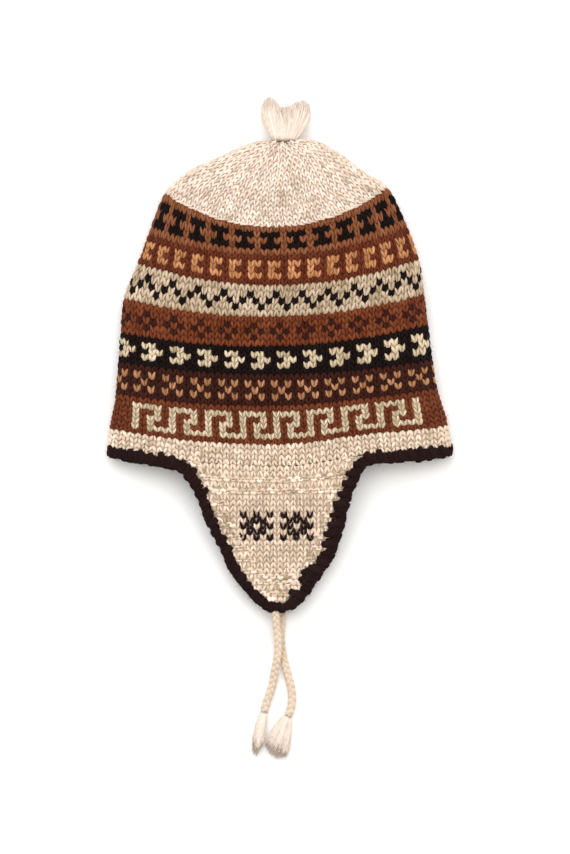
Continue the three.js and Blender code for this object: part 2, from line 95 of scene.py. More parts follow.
# Courses of knitting from the hem to the gathered top: shares of the half width, of the height
# and of the rise, named in this order
COURSE_COLUMNS = ("left", "right", "left_up", "right_up", "middle_up", "bow", "fold", "top", "base")
COURSE_TABLE = np.array([
    [0, 1.024, 1.018, 0.060, 0.061, 0, 0.020, 0.25, 0.66, 0],
    [4, 1.009, 0.997, 0.116, 0.127, 0.067, 0.014, 0.27, 0.74, 0],
    [11, 0.974, 0.932, 0.223, 0.240, 0.185, 0.004, 0.29, 0.85, 0],
    [16, 0.959, 0.905, 0.321, 0.327, 0.280, 0, 0.30, 0.92, 0],
    [21, 0.945, 0.878, 0.410, 0.433, 0.367, 0, 0.30, 0.97, 0],
    [26, 0.924, 0.854, 0.514, 0.527, 0.457, 0, 0.30, 1, 0],
    [31, 0.842, 0.822, 0.621, 0.633, 0.551, 0, 0.30, 1, 0],
    [36, 0.778, 0.754, 0.710, 0.732, 0.643, 0, 0.30, 0.99, 0],
    [41, 0.680, 0.635, 0.835, 0.852, 0.729, 0, 0.30, 0.96, 0],
    [45, 0.563, 0.504, 0.895, 0.899, 0.790, 0, 0.30, 0.92, 0],
    [50, 0.380, 0.353, 0.940, 0.954, 0.867, 0, 0.31, 0.82, 0],
    [54, 0.226, 0.240, 0.976, 0.989, 0.928, 0, 0.33, 0.67, 0],
    [57, 0.110, 0.134, 0.993, 0.998, 0.972, 0, 0.35, 0.54, 0.10],
    [59, 0.030, 0.060, 0.998, 0.999, 0.994, 0, 0.36, 0.43, 0.27],
])

# Outline of an ear flap: the share of its length from the root, and how far it reaches left
# and right as shares of its half width
FLAP_TABLE = np.array([
    [0, 1, 0.860],
    [0.02, 0.920, 0.780],
    [0.04, 0.885, 0.750],
    [0.07, 0.850, 0.726],
    [0.10, 0.820, 0.700],
    [0.17, 0.755, 0.640],
    [0.25, 0.705, 0.595],
    [0.35, 0.665, 0.560],
    [0.43, 0.610, 0.535],
    [0.53, 0.540, 0.495],
    [0.62, 0.485, 0.455],
    [0.72, 0.426, 0.376],
    [0.81, 0.350, 0.285],
    [0.88, 0.270, 0.226],
    [0.95, 0.180, 0.160],
    [1, 0.090, 0.080],
])

# Widths of the stitches in the middle of the upper layer: a course and the width there
MIDDLE_WIDTHS = np.array([
    [0, 5.35], [4, 5.2], [10, 5.18], [13, 5.15], [18, 5.03],
    [23, 4.95], [28, 5.0], [33, 5.15], [38, 5.1], [60, 5.1],
]) * np.array([1, MM])

# Routes of the ties from the tip of a flap, in millimetres across to the right and down the page,
# and the level: 1 is the height at the flap's tip and 0 lies on the table
UPPER_TIE_ROUTE = np.array([
    [-2.9, 0, 1], [-2.7, 5, 0.94], [-2.2, 11, 0.8], [-1.3, 17, 0.73], [-0.8, 23, 0.72],
    [-0.9, 29, 0.7], [-1.7, 35, 0.6], [-2.8, 41, 0.4], [-3.9, 47, 0.18], [-4.9, 53, 0.05],
    [-6.4, 59, 0.01], [-8.4, 65, 0], [-10.2, 70, 0], [-11.6, 75, 0], [-12.3, 78, 0],
])
LOWER_TIE_ROUTE = np.array([
    [2.3, 0, 0], [2.0, 5, 0], [1.4, 11, 0], [1.1, 17, 0], [1.3, 23, 0], [2.1, 29, 0], [3.2, 35, 0],
    [4.6, 41, 0], [6.3, 47, 0], [7.9, 53, 0], [9.2, 59, 0], [9.8, 65, 0], [9.5, 71, 0],
    [8.3, 76, 0], [6.4, 81, 0],
])

# The photograph's frame and the scale of the cap in it
PHOTO_WIDTH = 570
PHOTO_HEIGHT = 854
METRES_PER_PIXEL = 0.78 * MM
PHOTO_HEM_MIDDLE = (280, 466)


def unit(vectors: Array) -> Array:
    """Scale vectors to length one: each divided by its own length, and by 1e-12 at least."""
    lengths = np.linalg.norm(vectors, axis=-1, keepdims=True)
    return vectors / np.maximum(lengths, 1e-12)


def smooth_step(start: float, end: float, value: Array | float) -> Array:
    """Ease from 0 at start to 1 at end: 3t² − 2t³ of the clamped share t between them."""
    share = np.clip((np.asarray(value, dtype=float) - start) / (end - start), 0, 1)
    return share * share * (3 - 2 * share)


def lerp(low: Array | float, high: Array | float, share: Array | float) -> Array:
    """Mix two values: low at share 0 and high at share 1."""
    return low + (high - low) * share


def read_table(table: Array, places: Array) -> Array:
    """Read every column of a table at any places along a smooth curve through its rows.

    Between two rows the curve is a cubic whose slope at each row is the rise over the run
    between that row's two neighbours.

    Args:
        table: Rows of a place followed by the values there.
        places: The places to read at.

    Returns:
        One row of values for each place.
    """
    known, values = table[:, 0], table[:, 1:]
    last = len(known) - 1
    low = np.maximum(np.arange(len(known)) - 1, 0)
    high = np.minimum(np.arange(len(known)) + 1, last)
    slopes = (values[high] - values[low]) / (known[high] - known[low])[:, None]
    after = np.clip(np.searchsorted(known, places, side="left"), 1, last)
    span = (known[after] - known[after - 1])[:, None]
    t = (places[:, None] - known[after - 1][:, None]) / span
    rise = values[after] - values[after - 1]
    bend = t * t * (3 - 2 * t) * rise
    leaving = slopes[after - 1] * span * t * (1 - t) ** 2
    arriving = slopes[after] * span * t * t * (1 - t)
    return values[after - 1] + bend + leaving - arriving


def along_lengths(points: Array) -> Array:
    """Distances reached at each point of a line: the running sum of its steps, from zero."""
    steps = np.linalg.norm(np.diff(points, axis=0), axis=1)
    return np.concatenate([[0.0], np.cumsum(steps)])


def resample(points: Array, reached: Array, wanted: Array) -> Array:
    """Read a line at wanted distances, each coordinate straight between its known points."""
    return np.stack([np.interp(wanted, reached, points[:, axis]) for axis in range(3)], axis=1)


def cell_corners(low: tuple[Array, Array], high: tuple[Array, Array]) -> Array:
    """List the four corners of cells, one way round.

    Args:
        low: The two low coordinates of each cell.
        high: The two high ones.

    Returns:
        One row for each cell, with two coordinates for each of its corners.
    """
    (low_u, low_v), (high_u, high_v) = low, high
    corners = [(low_u, low_v), (high_u, low_v), (high_u, high_v), (low_u, high_v)]
    return np.stack([np.stack(corner, -1) for corner in corners], axis=2).reshape(-1, 4, 2)


def frame_shift() -> Array:
    """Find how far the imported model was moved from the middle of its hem.

    Returns:
        The shift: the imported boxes' own edges less the edges that the sizes above give.
    """
    body_low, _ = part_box("knitted_body")
    flap_low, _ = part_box("ear_flap_lower")
    widest = COURSE_TABLE[0, 1] * BODY_HALF_WIDTH
    return np.array([body_low[0] + widest, flap_low[1] + FLAP_LENGTH + SEAM_GAP, 0.0])


class Yarn(Enum):
    """The yarns that the cap is worked in."""

    CREAM = "cream"
    WARM_CREAM = "warm_cream"
    OAT = "oat"
    WHITE = "white"
    TAN = "tan"
    FAWN = "fawn"
    LIGHT_RUST = "light_rust"
    RUST_BROWN = "rust_brown"
    RUST = "rust"
    RED_BROWN = "red_brown"
    DARK_BROWN = "dark_brown"
    UMBER = "umber"
    BLACK = "black"
    BLACK_BROWN = "black_brown"
    TUFT = "tuft"
    TIE = "tie"


@dataclass(frozen=True)
class YarnFinish:
    """The look of one yarn.

    Args:
        slot: The record's material slot that it belongs to. Not used.
        shade: Its colour as eight-bit sRGB.
        roughness: Roughness of its surface.
        sheen: Weight of the soft light that its fibres catch.
        mottle: How far its dye or its natural colour drifts, as a share of its brightness.
        ply: Depth of the twist between its plies.
        hollow_shade_share: How light the painted shade of its hollows is, as a share of the shade.
        hollow_shade_powers: Powers that make red, green and blue richer in the painted shade of the
            hollows.
    """

    slot: str
    shade: tuple[int, int, int]
    roughness: float = 0.9
    sheen: float = 0.03
    mottle: float = 0.14
    ply: float = 0.22 * MM
    hollow_shade_share: float = 0.46
    hollow_shade_powers: tuple[float, float, float] = (1.0, 1.25, 1.75)

    def linear(self, gain: float = 1.0) -> tuple[float, float, float, float]:
        """Turn the shade into linear light, by sRGB's own curve.

        Args:
            gain: What the light is multiplied by.

        Returns:
            Red, green and blue, and one.
        """
        encoded = np.array(self.shade) / 255
        low, high = encoded / 12.92, ((encoded + 0.055) / 1.055) ** 2.4
        light = np.where(encoded <= 0.04045, low, high) * gain
        return (float(light[0]), float(light[1]), float(light[2]), 1.0)

    def deep(self) -> tuple[float, float, float, float]:
        """Give the painted shade of its hollows, richer in colour: a share of the linear light to its
        powers.
        """
        lights = zip(self.linear(), self.hollow_shade_powers)
        red, green, blue = (self.hollow_shade_share * light**power for light, power in lights)
        return (red, green, blue, 1.0)


FINISHES: dict[Yarn, YarnFinish] = {
    Yarn.CREAM: YarnFinish("cream_knit", (226, 209, 197), mottle=0.14),
    Yarn.WARM_CREAM: YarnFinish("cream_knit", (224, 205, 189), mottle=0.17),
    Yarn.OAT: YarnFinish("banded_knit", (188, 170, 150), mottle=0.30),
    Yarn.WHITE: YarnFinish("banded_knit", (204, 188, 165), mottle=0.18),
    Yarn.TAN: YarnFinish("banded_knit", (184, 132, 93)),
    Yarn.FAWN: YarnFinish("banded_knit", (170, 125, 93)),
    Yarn.LIGHT_RUST: YarnFinish("banded_knit", (131, 83, 56)),
    Yarn.RUST_BROWN: YarnFinish("banded_knit", (114, 61, 34), mottle=0.22),
    Yarn.RUST: YarnFinish("banded_knit", (108, 57, 33), mottle=0.2),
    Yarn.RED_BROWN: YarnFinish("banded_knit", (98, 47, 26)),
    Yarn.DARK_BROWN: YarnFinish("banded_knit", (58, 26, 18)),
    Yarn.UMBER: YarnFinish("banded_knit", (56, 25, 16)),
    Yarn.BLACK: YarnFinish("banded_knit", (22, 14, 13), sheen=0.01),
    Yarn.BLACK_BROWN: YarnFinish("edging_yarn", (33, 19, 19), sheen=0.01),
    Yarn.TUFT: YarnFinish("tuft_yarn", (228, 214, 204), mottle=0.08),
    Yarn.TIE: YarnFinish("tie_yarn", (221, 204, 188), mottle=0.12),
}


@dataclass
class NodeGraph:
    """The node tree of one material, filled node by node."""

    material: bpy.types.Material

    def __post_init__(self) -> None:
        """Start from an empty tree."""
        self.material.use_nodes = True
        self.tree = self.material.node_tree
        self.tree.nodes.clear()

    def add(self, kind: str, **settings: object) -> bpy.types.Node:
        """Add one node.

        Args:
            kind: Its type.
            settings: Its own properties.

        Returns:
            The node.
        """
        node = self.tree.nodes.new(kind)
        for name, value in settings.items():
            setattr(node, name, value)
        return node

    def join(self, source: bpy.types.NodeSocket, target: bpy.types.NodeSocket) -> None:
        """Link an output to an input."""
        self.tree.links.new(source, target)

    def math(self, operation: str, *values: object) -> bpy.types.NodeSocket:
        """Add a math node.

        Args:
            operation: The name of the operation.
            values: Sockets or numbers for its inputs, in order.

        Returns:
            Its output.
        """
        node = self.add("ShaderNodeMath", operation=operation)
        for socket, value in zip(node.inputs, values):
            if isinstance(value, bpy.types.NodeSocket):
                self.join(value, socket)
            else:
                socket.default_value = value
        return node.outputs[0]

    def noise(self, place: bpy.types.NodeSocket, scale: float, detail: float) -> bpy.types.NodeSocket:
        """Add a noise.

        Args:
            place: Where it is read.
            scale: Its cells in a metre.
            detail: Its finer layers.

        Returns:
            Its height, from 0 to 1.
        """
        node = self.add("ShaderNodeTexNoise")
        node.inputs["Scale"].default_value = scale
        node.inputs["Detail"].default_value = detail
        self.join(place, node.inputs["Vector"])
        return node.outputs["Fac"]


@dataclass
class YarnDresser:
    """Makes the material of each yarn once and hands it out.

    Colour is the yarn's own shade, lightened or darkened by the stitch's own tone, by a slow
    drift of the dye over a few stitches and by the fibres; low tones darken it towards a painted
    shade of the yarn's hollows. Relief is the twist of the plies, a sine of the coordinate round
    the strand plus turns of the coordinate along it, with the fibres' noise on top.

    Args:
        drift_scale: Drifts of the dye in a metre.
        fleck_scale: Flecks in a metre.
        fibre_scale: Fibres in a metre.
        drift_swing: How far the drift lightens and darkens, in mottles.
        fleck_swing: How far the flecks do, in mottles.
        brightest: Light of the lightest yarn, as a share of the shade.
        fibre_relief: Height of the fibres in the relief.
        twist_relief: Height of the twist in the relief.
        made: The materials made so far.
    """

    drift_scale: float = 55.0
    fleck_scale: float = 420.0
    fibre_scale: float = 1500.0
    drift_swing: float = 2.2
    fleck_swing: float = 1.6
    brightest: float = 1.45
    fibre_relief: float = 1.4
    twist_relief: float = 0.5
    made: dict[Yarn, bpy.types.Material] = field(default_factory=dict)

    def material(self, yarn: Yarn) -> bpy.types.Material:
        """Give the material of a yarn, made on first use."""
        if yarn not in self.made:
            self.made[yarn] = self.make(yarn)
        return self.made[yarn]

    def make(self, yarn: Yarn) -> bpy.types.Material:
        """Build the node tree of one yarn.

        Args:
            yarn: The yarn.

        Returns:
            Its material.
        """
        finish = FINISHES[yarn]
        material = bpy.data.materials.new(f"{yarn.value}_yarn")
        graph = NodeGraph(material)
        output = graph.add("ShaderNodeOutputMaterial")
        shader = graph.add("ShaderNodeBsdfPrincipled")
        graph.join(shader.outputs[0], output.inputs["Surface"])
        place = graph.add("ShaderNodeTexCoord").outputs["Object"]
        tone = graph.add("ShaderNodeAttribute", attribute_name="tone").outputs["Fac"]
        drift = graph.noise(place, self.drift_scale, 2.0)
        fleck = graph.noise(place, self.fleck_scale, 3.0)
        fibre = graph.noise(place, self.fibre_scale, 2.0)
        drifting = finish.mottle * self.drift_swing
        flecking = finish.mottle * self.fleck_swing
        lift = graph.math("MULTIPLY_ADD", drift, drifting, -drifting / 2)
        flecked = graph.math("MULTIPLY_ADD", fleck, flecking, -flecking / 2)
        share = graph.math("ADD", graph.math("ADD", tone, lift), flecked)
        mix = graph.add("ShaderNodeMix", data_type="RGBA", clamp_factor=True)
        graph.join(share, mix.inputs[0])
        # Share zero is the painted shade of the hollows: low tones darken towards it.
        mix.inputs[6].default_value = finish.deep()
        mix.inputs[7].default_value = finish.linear(self.brightest)
        graph.join(mix.outputs[2], shader.inputs["Base Color"])
        ply = graph.add("ShaderNodeUVMap", uv_map="ply").outputs["UV"]
        parts = graph.add("ShaderNodeSeparateXYZ")
        graph.join(ply, parts.inputs[0])
        phase = graph.math("ADD", parts.outputs["X"], parts.outputs["Y"])
        twist = graph.math("SINE", graph.math("MULTIPLY", phase, 2 * math.pi))
        twisted = graph.math("MULTIPLY", twist, self.twist_relief)
        relief = graph.math("MULTIPLY_ADD", fibre, self.fibre_relief, twisted)
        bump = graph.add("ShaderNodeBump")
        bump.inputs["Strength"].default_value = 0.8
        bump.inputs["Distance"].default_value = finish.ply
        graph.join(relief, bump.inputs["Height"])
        graph.join(bump.outputs["Normal"], shader.inputs["Normal"])
        shader.inputs["Roughness"].default_value = finish.roughness
        shader.inputs["Sheen Weight"].default_value = finish.sheen
        shader.inputs["Sheen Roughness"].default_value = 0.6
        shader.inputs["Specular IOR Level"].default_value = 0.1
        return material


@dataclass
class Faces:
    """Faces of one kind, triangles or quads, with what each corner and each face carries.

    Args:
        corners: Vertex numbers, one row for each face.
        local: Coordinates of each corner inside its cell of the bake, from 0 to 1.
        ply: Coordinates of each corner round and along its strand.
        cell: The cell of the bake that each face belongs to.
        material: The number of each face's material.
    """

    corners: Numbers
    local: Array
    ply: Array
    cell: Numbers
    material: Numbers


@dataclass
class PieceDraft:
    """One piece before it becomes a mesh: vertices, faces and their coordinates as arrays.

    Args:
        name: The name of the piece.
        vertices: Blocks of points.
        tones: The tone of each point, block by block.
        faces: The faces of all blocks.
        vertex_count: How many points there are so far.
        cell_count: How many cells of the bake are used so far.
    """

    name: str
    vertices: list[Array] = field(default_factory=list)
    tones: list[Array] = field(default_factory=list)
    faces: list[Faces] = field(default_factory=list)
    vertex_count: int = 0
    cell_count: int = 0

    def add(self, vertices: Array, tones: Array, faces: list[Faces], cells: int) -> None:
        """Append a block whose face numbers and cells start from zero.

        Args:
            vertices: Its points.
            tones: The tone of each point.
            faces: Its faces.
            cells: How many cells of the bake it uses.
        """
        for kind in faces:
            kind.corners = kind.corners + self.vertex_count
            kind.cell = kind.cell + self.cell_count
            self.faces.append(kind)
        self.vertices.append(vertices)
        self.tones.append(tones)
        self.vertex_count += len(vertices)
        self.cell_count += cells

    def bake_places(self, kind: Faces) -> Array:
        """Lay the cells out on a square sheet, row by row, each with a small margin.

        Args:
            kind: The faces.

        Returns:
            The coordinates of their corners on the sheet.
        """
        columns = math.ceil(math.sqrt(self.cell_count))
        margin = 0.06
        inside = margin + (1 - 2 * margin) * kind.local
        column = (kind.cell % columns)[:, None]
        row = (kind.cell // columns)[:, None]
        return np.stack([column + inside[..., 0], row + inside[..., 1]], axis=-1) / columns

    def build(self, materials: list[bpy.types.Material]) -> bpy.types.Object:
        """Make the mesh and its object at the origin, ride it on the root and log it.

        Args:
            materials: The materials that the faces number.

        Returns:
            The object.
        """
        vertices = np.concatenate(self.vertices)
        loops = np.concatenate([kind.corners.ravel() for kind in self.faces])
        totals = np.concatenate([np.full(len(k.corners), k.corners.shape[1]) for k in self.faces])
        starts = np.concatenate([[0], np.cumsum(totals)[:-1]])
        mesh = bpy.data.meshes.new(self.name)
        mesh.vertices.add(len(vertices))
        mesh.vertices.foreach_set("co", vertices.astype(np.float32).ravel())
        mesh.loops.add(len(loops))
        mesh.loops.foreach_set("vertex_index", loops.astype(np.int32))
        mesh.polygons.add(len(totals))
        mesh.polygons.foreach_set("loop_start", starts.astype(np.int32))
        mesh.polygons.foreach_set("loop_total", totals.astype(np.int32))
        mesh.polygons.foreach_set("use_smooth", np.full(len(totals), True))
        numbers = np.concatenate([kind.material for kind in self.faces])
        mesh.polygons.foreach_set("material_index", numbers.astype(np.int32))
        bake = np.concatenate([self.bake_places(kind).reshape(-1, 2) for kind in self.faces])
        ply = np.concatenate([kind.ply.reshape(-1, 2) for kind in self.faces])
        for layer, places in (("OFBake", bake), ("ply", ply)):
            uv = mesh.uv_layers.new(name=layer)
            uv.data.foreach_set("uv", places.astype(np.float32).ravel())
        tone = mesh.attributes.new("tone", "FLOAT", "POINT")
        tone.data.foreach_set("value", np.concatenate(self.tones).astype(np.float32))
        mesh.update(calc_edges=True)
        mesh.validate()
        for material in materials:
            mesh.materials.append(material)
        piece = bpy.data.objects.new(self.name, mesh)
        bpy.context.scene.collection.objects.link(piece)
        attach(piece, "root")
        log.info("%s: %d triangles", self.name, int((totals - 2).sum()))
        return piece


@dataclass(frozen=True)
class StrandForm:
    """How strands are rounded into closed spindles.

    Args:
        sides: Corners of a section.
        turns: Twists of the plies from end to end.
    """

    sides: int = 6
    turns: float = 2.5

    def skin(self, rings: int) -> list[tuple[Numbers, Array]]:
        """Number the faces of one strand and place their corners.

        Args:
            rings: How many sections the strand has between its tips.

        Returns:
            Vertex numbers and places round and along the strand, first of the triangles at its
            tips and then of the quads between.
        """
        ring = 1 + np.arange(rings)[:, None] * self.sides
        here = ring + np.arange(self.sides)[None]
        there = ring + (np.arange(self.sides)[None] + 1) % self.sides
        quads = np.stack([here[:-1], there[:-1], there[1:], here[1:]], axis=-1).reshape(-1, 4)
        first = np.stack([np.zeros(self.sides, int), there[0], here[0]], axis=-1)
        last_tip = rings * self.sides + 1
        final = np.stack([np.full(self.sides, last_tip), here[-1], there[-1]], axis=-1)
        round_low = np.arange(self.sides) / self.sides
        round_high = round_low + 1 / self.sides
        along = np.arange(1, rings + 1) / (rings + 1)
        low = np.meshgrid(along[:-1], round_low, indexing="ij")
        high = np.meshgrid(along[1:], round_high, indexing="ij")
        quad_places = cell_corners((low[1], low[0]), (high[1], high[0]))
        middle, zeros = (round_low + round_high) / 2, np.zeros(self.sides)
        near, far = zeros + along[0], zeros + along[-1]
        first_places = np.array([(middle, zeros), (round_high, near), (round_low, near)])
        final_places = np.array([(middle, zeros + 1), (round_low, far), (round_high, far)])
        places = np.concatenate([first_places, final_places], axis=2).transpose(2, 0, 1)
        return [(np.concatenate([first, final]), places), (quads, quad_places)]

    def add_to(
        self,
        draft: PieceDraft,
        centres: Array,
        overs: Array,
        half_width: Array,
        half_height: Array,
        tones: Array,
        material: Numbers | int = 0,
    ) -> None:
        """Add closed strands along given lines to a draft.

        A section stands round each middle point: across times half width times cosine, plus over
        times half height times sine, where across is over turned square to the line. The first
        and last points of a line are its two closed tips.

        Args:
            draft: The draft to add to.
            centres: Points of the lines, by strand and then along it.
            overs: The direction away from the fabric at each point.
            half_width: Half widths at each point.
            half_height: Half heights at each point.
            tones: The tone of each strand.
            material: The number of each strand's material.
        """
        strands, stations, _ = centres.shape
        rings = stations - 2
        ahead = unit(np.gradient(centres, axis=1))
        across = unit(np.cross(overs, ahead))
        over = np.cross(ahead, across)
        angle = 2 * np.pi * (np.arange(self.sides) + 0.5) / self.sides
        sideways = across[:, 1:-1, None] * (half_width[:, 1:-1, None] * np.cos(angle))[..., None]
        upward = over[:, 1:-1, None] * (half_height[:, 1:-1, None] * np.sin(angle))[..., None]
        sections = centres[:, 1:-1, None] + sideways + upward
        body = sections.reshape(strands, rings * self.sides, 3)
        vertices = np.concatenate([centres[:, :1], body, centres[:, -1:]], axis=1)
        per_strand = rings * self.sides + 2
        offset = (np.arange(strands) * per_strand)[:, None, None]
        numbers = np.broadcast_to(np.asarray(material), (strands,))
        kinds = []
        for corners, local in self.skin(rings):
            all_corners = (corners[None] + offset).reshape(-1, corners.shape[1])
            all_local = np.broadcast_to(local, (strands, *local.shape)).reshape(-1, *local.shape[1:])
            kinds.append(Faces(
                corners=all_corners,
                local=all_local,
                ply=all_local * np.array([1.0, self.turns]),
                cell=np.repeat(np.arange(strands), len(corners)),
                material=np.repeat(numbers, len(corners)),
            ))
        draft.add(vertices.reshape(-1, 3), np.repeat(tones, per_strand), kinds, strands)


class KnitSurface(Protocol):
    """A surface that stitches lie on, with one coordinate by stitch and one by course."""

    def place(self, wale: Array, course: Array) -> tuple[Array, Array]:
        """Give the points of the outside at these coordinates and their outward normals."""
        ...


@dataclass
class BodySurface:
    """The outside of the knitted body.

    Each course is a circle arc on the page through its right, middle and left points. The height
    over the page is that of a squared ellipse, from the side folds to the middle of the layer.
    Round the gathered top the fabric is thrown into folds: a cosine of the turn, fading with the
    distance from the top.

    Args:
        shift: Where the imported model's origin puts the middle of the hem.
        rows_per_course: Grid rows for each course.
        quarter_columns: Grid columns for each quarter of a course.
        trace_points: Steps that trace a quarter.
    """

    shift: Array
    rows_per_course: int = 4
    quarter_columns: int = 96
    trace_points: int = 120

    def __post_init__(self) -> None:
        """Work out the grid of points and normals."""
        rows = LAST_RING * self.rows_per_course + 1
        self.courses = np.linspace(0, LAST_RING, rows)
        plain = self.even_rings(self.trace(self.courses))
        fold = read_table(COURSE_TABLE, np.array([float(LAST_RING)]))[0, 6] * BODY_RISE
        self.top = np.array([TOP_SHIFT, BODY_HEIGHT, fold])
        normals = self.ring_normals(plain)
        nearness = np.exp(-np.linalg.norm(plain - self.top, axis=-1) / GATHER_REACH)
        nearness[0] = 0
        turn = np.arange(plain.shape[1]) / plain.shape[1]
        gather = GATHER_DEPTH * nearness * np.cos(2 * np.pi * GATHER_COUNT * turn)
        points = plain + normals * gather[..., None]
        points[..., 2] = np.maximum(points[..., 2], 0)
        normals = self.ring_normals(points)
        pole = np.broadcast_to(self.top, points[:1].shape)
        pole_normal = np.broadcast_to(np.array([0.0, 1.0, 0.0]), points[:1].shape)
        self.points = np.concatenate([points, pole])
        self.normals = np.concatenate([normals, pole_normal])
        self.rows = np.concatenate([self.courses, [TOP_COURSE]])
        steps = np.linalg.norm(np.diff(points, axis=1, append=points[:, :1]), axis=-1)
        half = points.shape[1] // 2
        self.upper_length = steps[:, :half].sum(axis=1)
        self.round_length = steps.sum(axis=1)

    def trace(self, courses: Array) -> Array:
        """Trace courses at equal steps of the turn, from the right fold all the way round.

        Args:
            courses: The courses.

        Returns:
            Points by course and then by step, with the first point of each again at its end.
        """
        values = dict(zip(COURSE_COLUMNS, read_table(COURSE_TABLE, courses).T[..., None]))
        middle_x = TOP_SHIFT * smooth_step(0.6, 1, courses / TOP_COURSE)[:, None]
        right = np.stack([values["right"] * BODY_HALF_WIDTH, values["right_up"] * BODY_HEIGHT])
        left = np.stack([-values["left"] * BODY_HALF_WIDTH, values["left_up"] * BODY_HEIGHT])
        middle = np.stack([middle_x, values["middle_up"] * BODY_HEIGHT])
        turn = np.linspace(0, 2 * np.pi, 4 * self.trace_points + 1)[None]
        upper = np.sin(turn) >= -1e-9
        power = np.where(upper, 2 / UPPER_SQUARENESS, 2 / LOWER_SQUARENESS)
        side = np.sign(np.cos(turn)) * np.abs(np.cos(turn)) ** power
        swell = np.abs(np.sin(turn)) ** power
        x, y = self.arc(right, middle, left, (1 - side) / 2)
        bow = values["bow"] * BODY_HEIGHT * np.sin(np.pi * np.maximum(side, 0)) ** 2
        fold, top, base = (values[name] * BODY_RISE for name in ("fold", "top", "base"))
        over = fold + (top - fold) * swell
        under = fold - (fold - base) * np.minimum(1, RESTING_SHARE * swell)
        return np.stack([x, y + bow, np.where(upper, over, under)], axis=-1)

    @staticmethod
    def arc(first: Array, second: Array, last: Array, share: Array) -> tuple[Array, Array]:
        """Follow the circle through three points.

        Args:
            first: The point at share 0.
            second: A point between.
            last: The point at share 1.
            share: Shares of the angle from the first point to the last.

        Returns:
            Both coordinates of the points there.
        """
        (ax, ay), (bx, by), (cx, cy) = first, second, last
        aa, bb, cc = ax * ax + ay * ay, bx * bx + by * by, cx * cx + cy * cy
        area = 2 * (ax * (by - cy) + bx * (cy - ay) + cx * (ay - by))
        middle_x = (aa * (by - cy) + bb * (cy - ay) + cc * (ay - by)) / area
        middle_y = (aa * (cx - bx) + bb * (ax - cx) + cc * (bx - ax)) / area
        radius = np.hypot(ax - middle_x, ay - middle_y)
        start = np.arctan2(ay - middle_y, ax - middle_x)
        end = np.arctan2(cy - middle_y, cx - middle_x)
        angle = start + (end - start) * share
        return middle_x + radius * np.cos(angle), middle_y + radius * np.sin(angle)

    def even_rings(self, trace: Array) -> Array:
        """Space the points of each quarter of each course evenly along its length.

        Args:
            trace: Points by course and then by step.

        Returns:
            The even points, each course once round.
        """
        rings = []
        for course in trace:
            quarters = []
            for quarter in range(4):
                start = quarter * self.trace_points
                part = course[start : start + self.trace_points + 1]
                reached = along_lengths(part)
                wanted = reached[-1] * np.arange(self.quarter_columns) / self.quarter_columns
                quarters.append(resample(part, reached, wanted))
            rings.append(np.concatenate(quarters))
        return np.stack(rings)

    def ring_normals(self, rings: Array) -> Array:
        """Cross the direction up the courses with the direction round them.

        Args:
            rings: Points by course and then round it.

        Returns:
            The outward normals.
        """
        around = np.roll(rings, -1, axis=1) - np.roll(rings, 1, axis=1)
        height = rings[-1, :, 2].mean()
        top = np.broadcast_to(np.array([TOP_SHIFT, BODY_HEIGHT, height]), rings[:1].shape)
        after = np.concatenate([rings[1:], top])
        before = np.concatenate([rings[:1], rings[:-1]])
        return unit(np.cross(after - before, around))

    def ease(self, course: Array) -> Array:
        """Tell how much wider than their mean the stitches in the middle of the upper layer are.

        Args:
            course: Courses from the hem.

        Returns:
            The shares, zero in the crown and a fifth at most.
        """
        mean = np.interp(course, self.courses, self.upper_length) / LAYER_WALES
        wanted = np.interp(course, MIDDLE_WIDTHS[:, 0], MIDDLE_WIDTHS[:, 1])
        return np.clip(wanted / mean - 1, -0.2, 0.2) * (course < BANDS[-1].first)

    def place(self, wale: Array, course: Array) -> tuple[Array, Array]:
        """Give points of the outside and their normals.

        Args:
            wale: Stitches from the left fold over the upper layer to the right fold, and on.
            course: Courses from the hem.

        Returns:
            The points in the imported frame, and the outward normals.
        """
        wale, course = np.broadcast_arrays(wale % ROUND_WALES, course)
        layer = wale / LAYER_WALES
        upper = layer < 1
        eased = layer - self.ease(course) * np.sin(2 * np.pi * layer) / (2 * np.pi)
        turn = (0.5 - np.where(upper, eased, layer) / 2) % 1
        columns = self.points.shape[1]
        column = turn * columns
        low_column = np.floor(column).astype(int)
        row = np.interp(course, self.rows, np.arange(len(self.rows)))
        low_row = np.clip(np.floor(row).astype(int), 0, len(self.rows) - 2)
        u, v = (column - low_column)[..., None], (row - low_row)[..., None]
        low, high = low_column % columns, (low_column + 1) % columns
        results = []
        for grid in (self.points, self.normals):
            lower = lerp(grid[low_row, low], grid[low_row, high], u)
            upper_row = lerp(grid[low_row + 1, low], grid[low_row + 1, high], u)
            results.append(lerp(lower, upper_row, v))
        return results[0] + self.shift, unit(results[1])

    def hem(self) -> tuple[Array, Array]:
        """Give the hem halfway through the wall, from the right fold over the upper layer.

        Returns:
            Its points, still round the middle of the hem, and its level outward normals.
        """
        level = self.normals[0] * np.array([1.0, 0.0, 1.0])
        normals = unit(level)
        return self.points[0] - normals * WALL / 2, normals


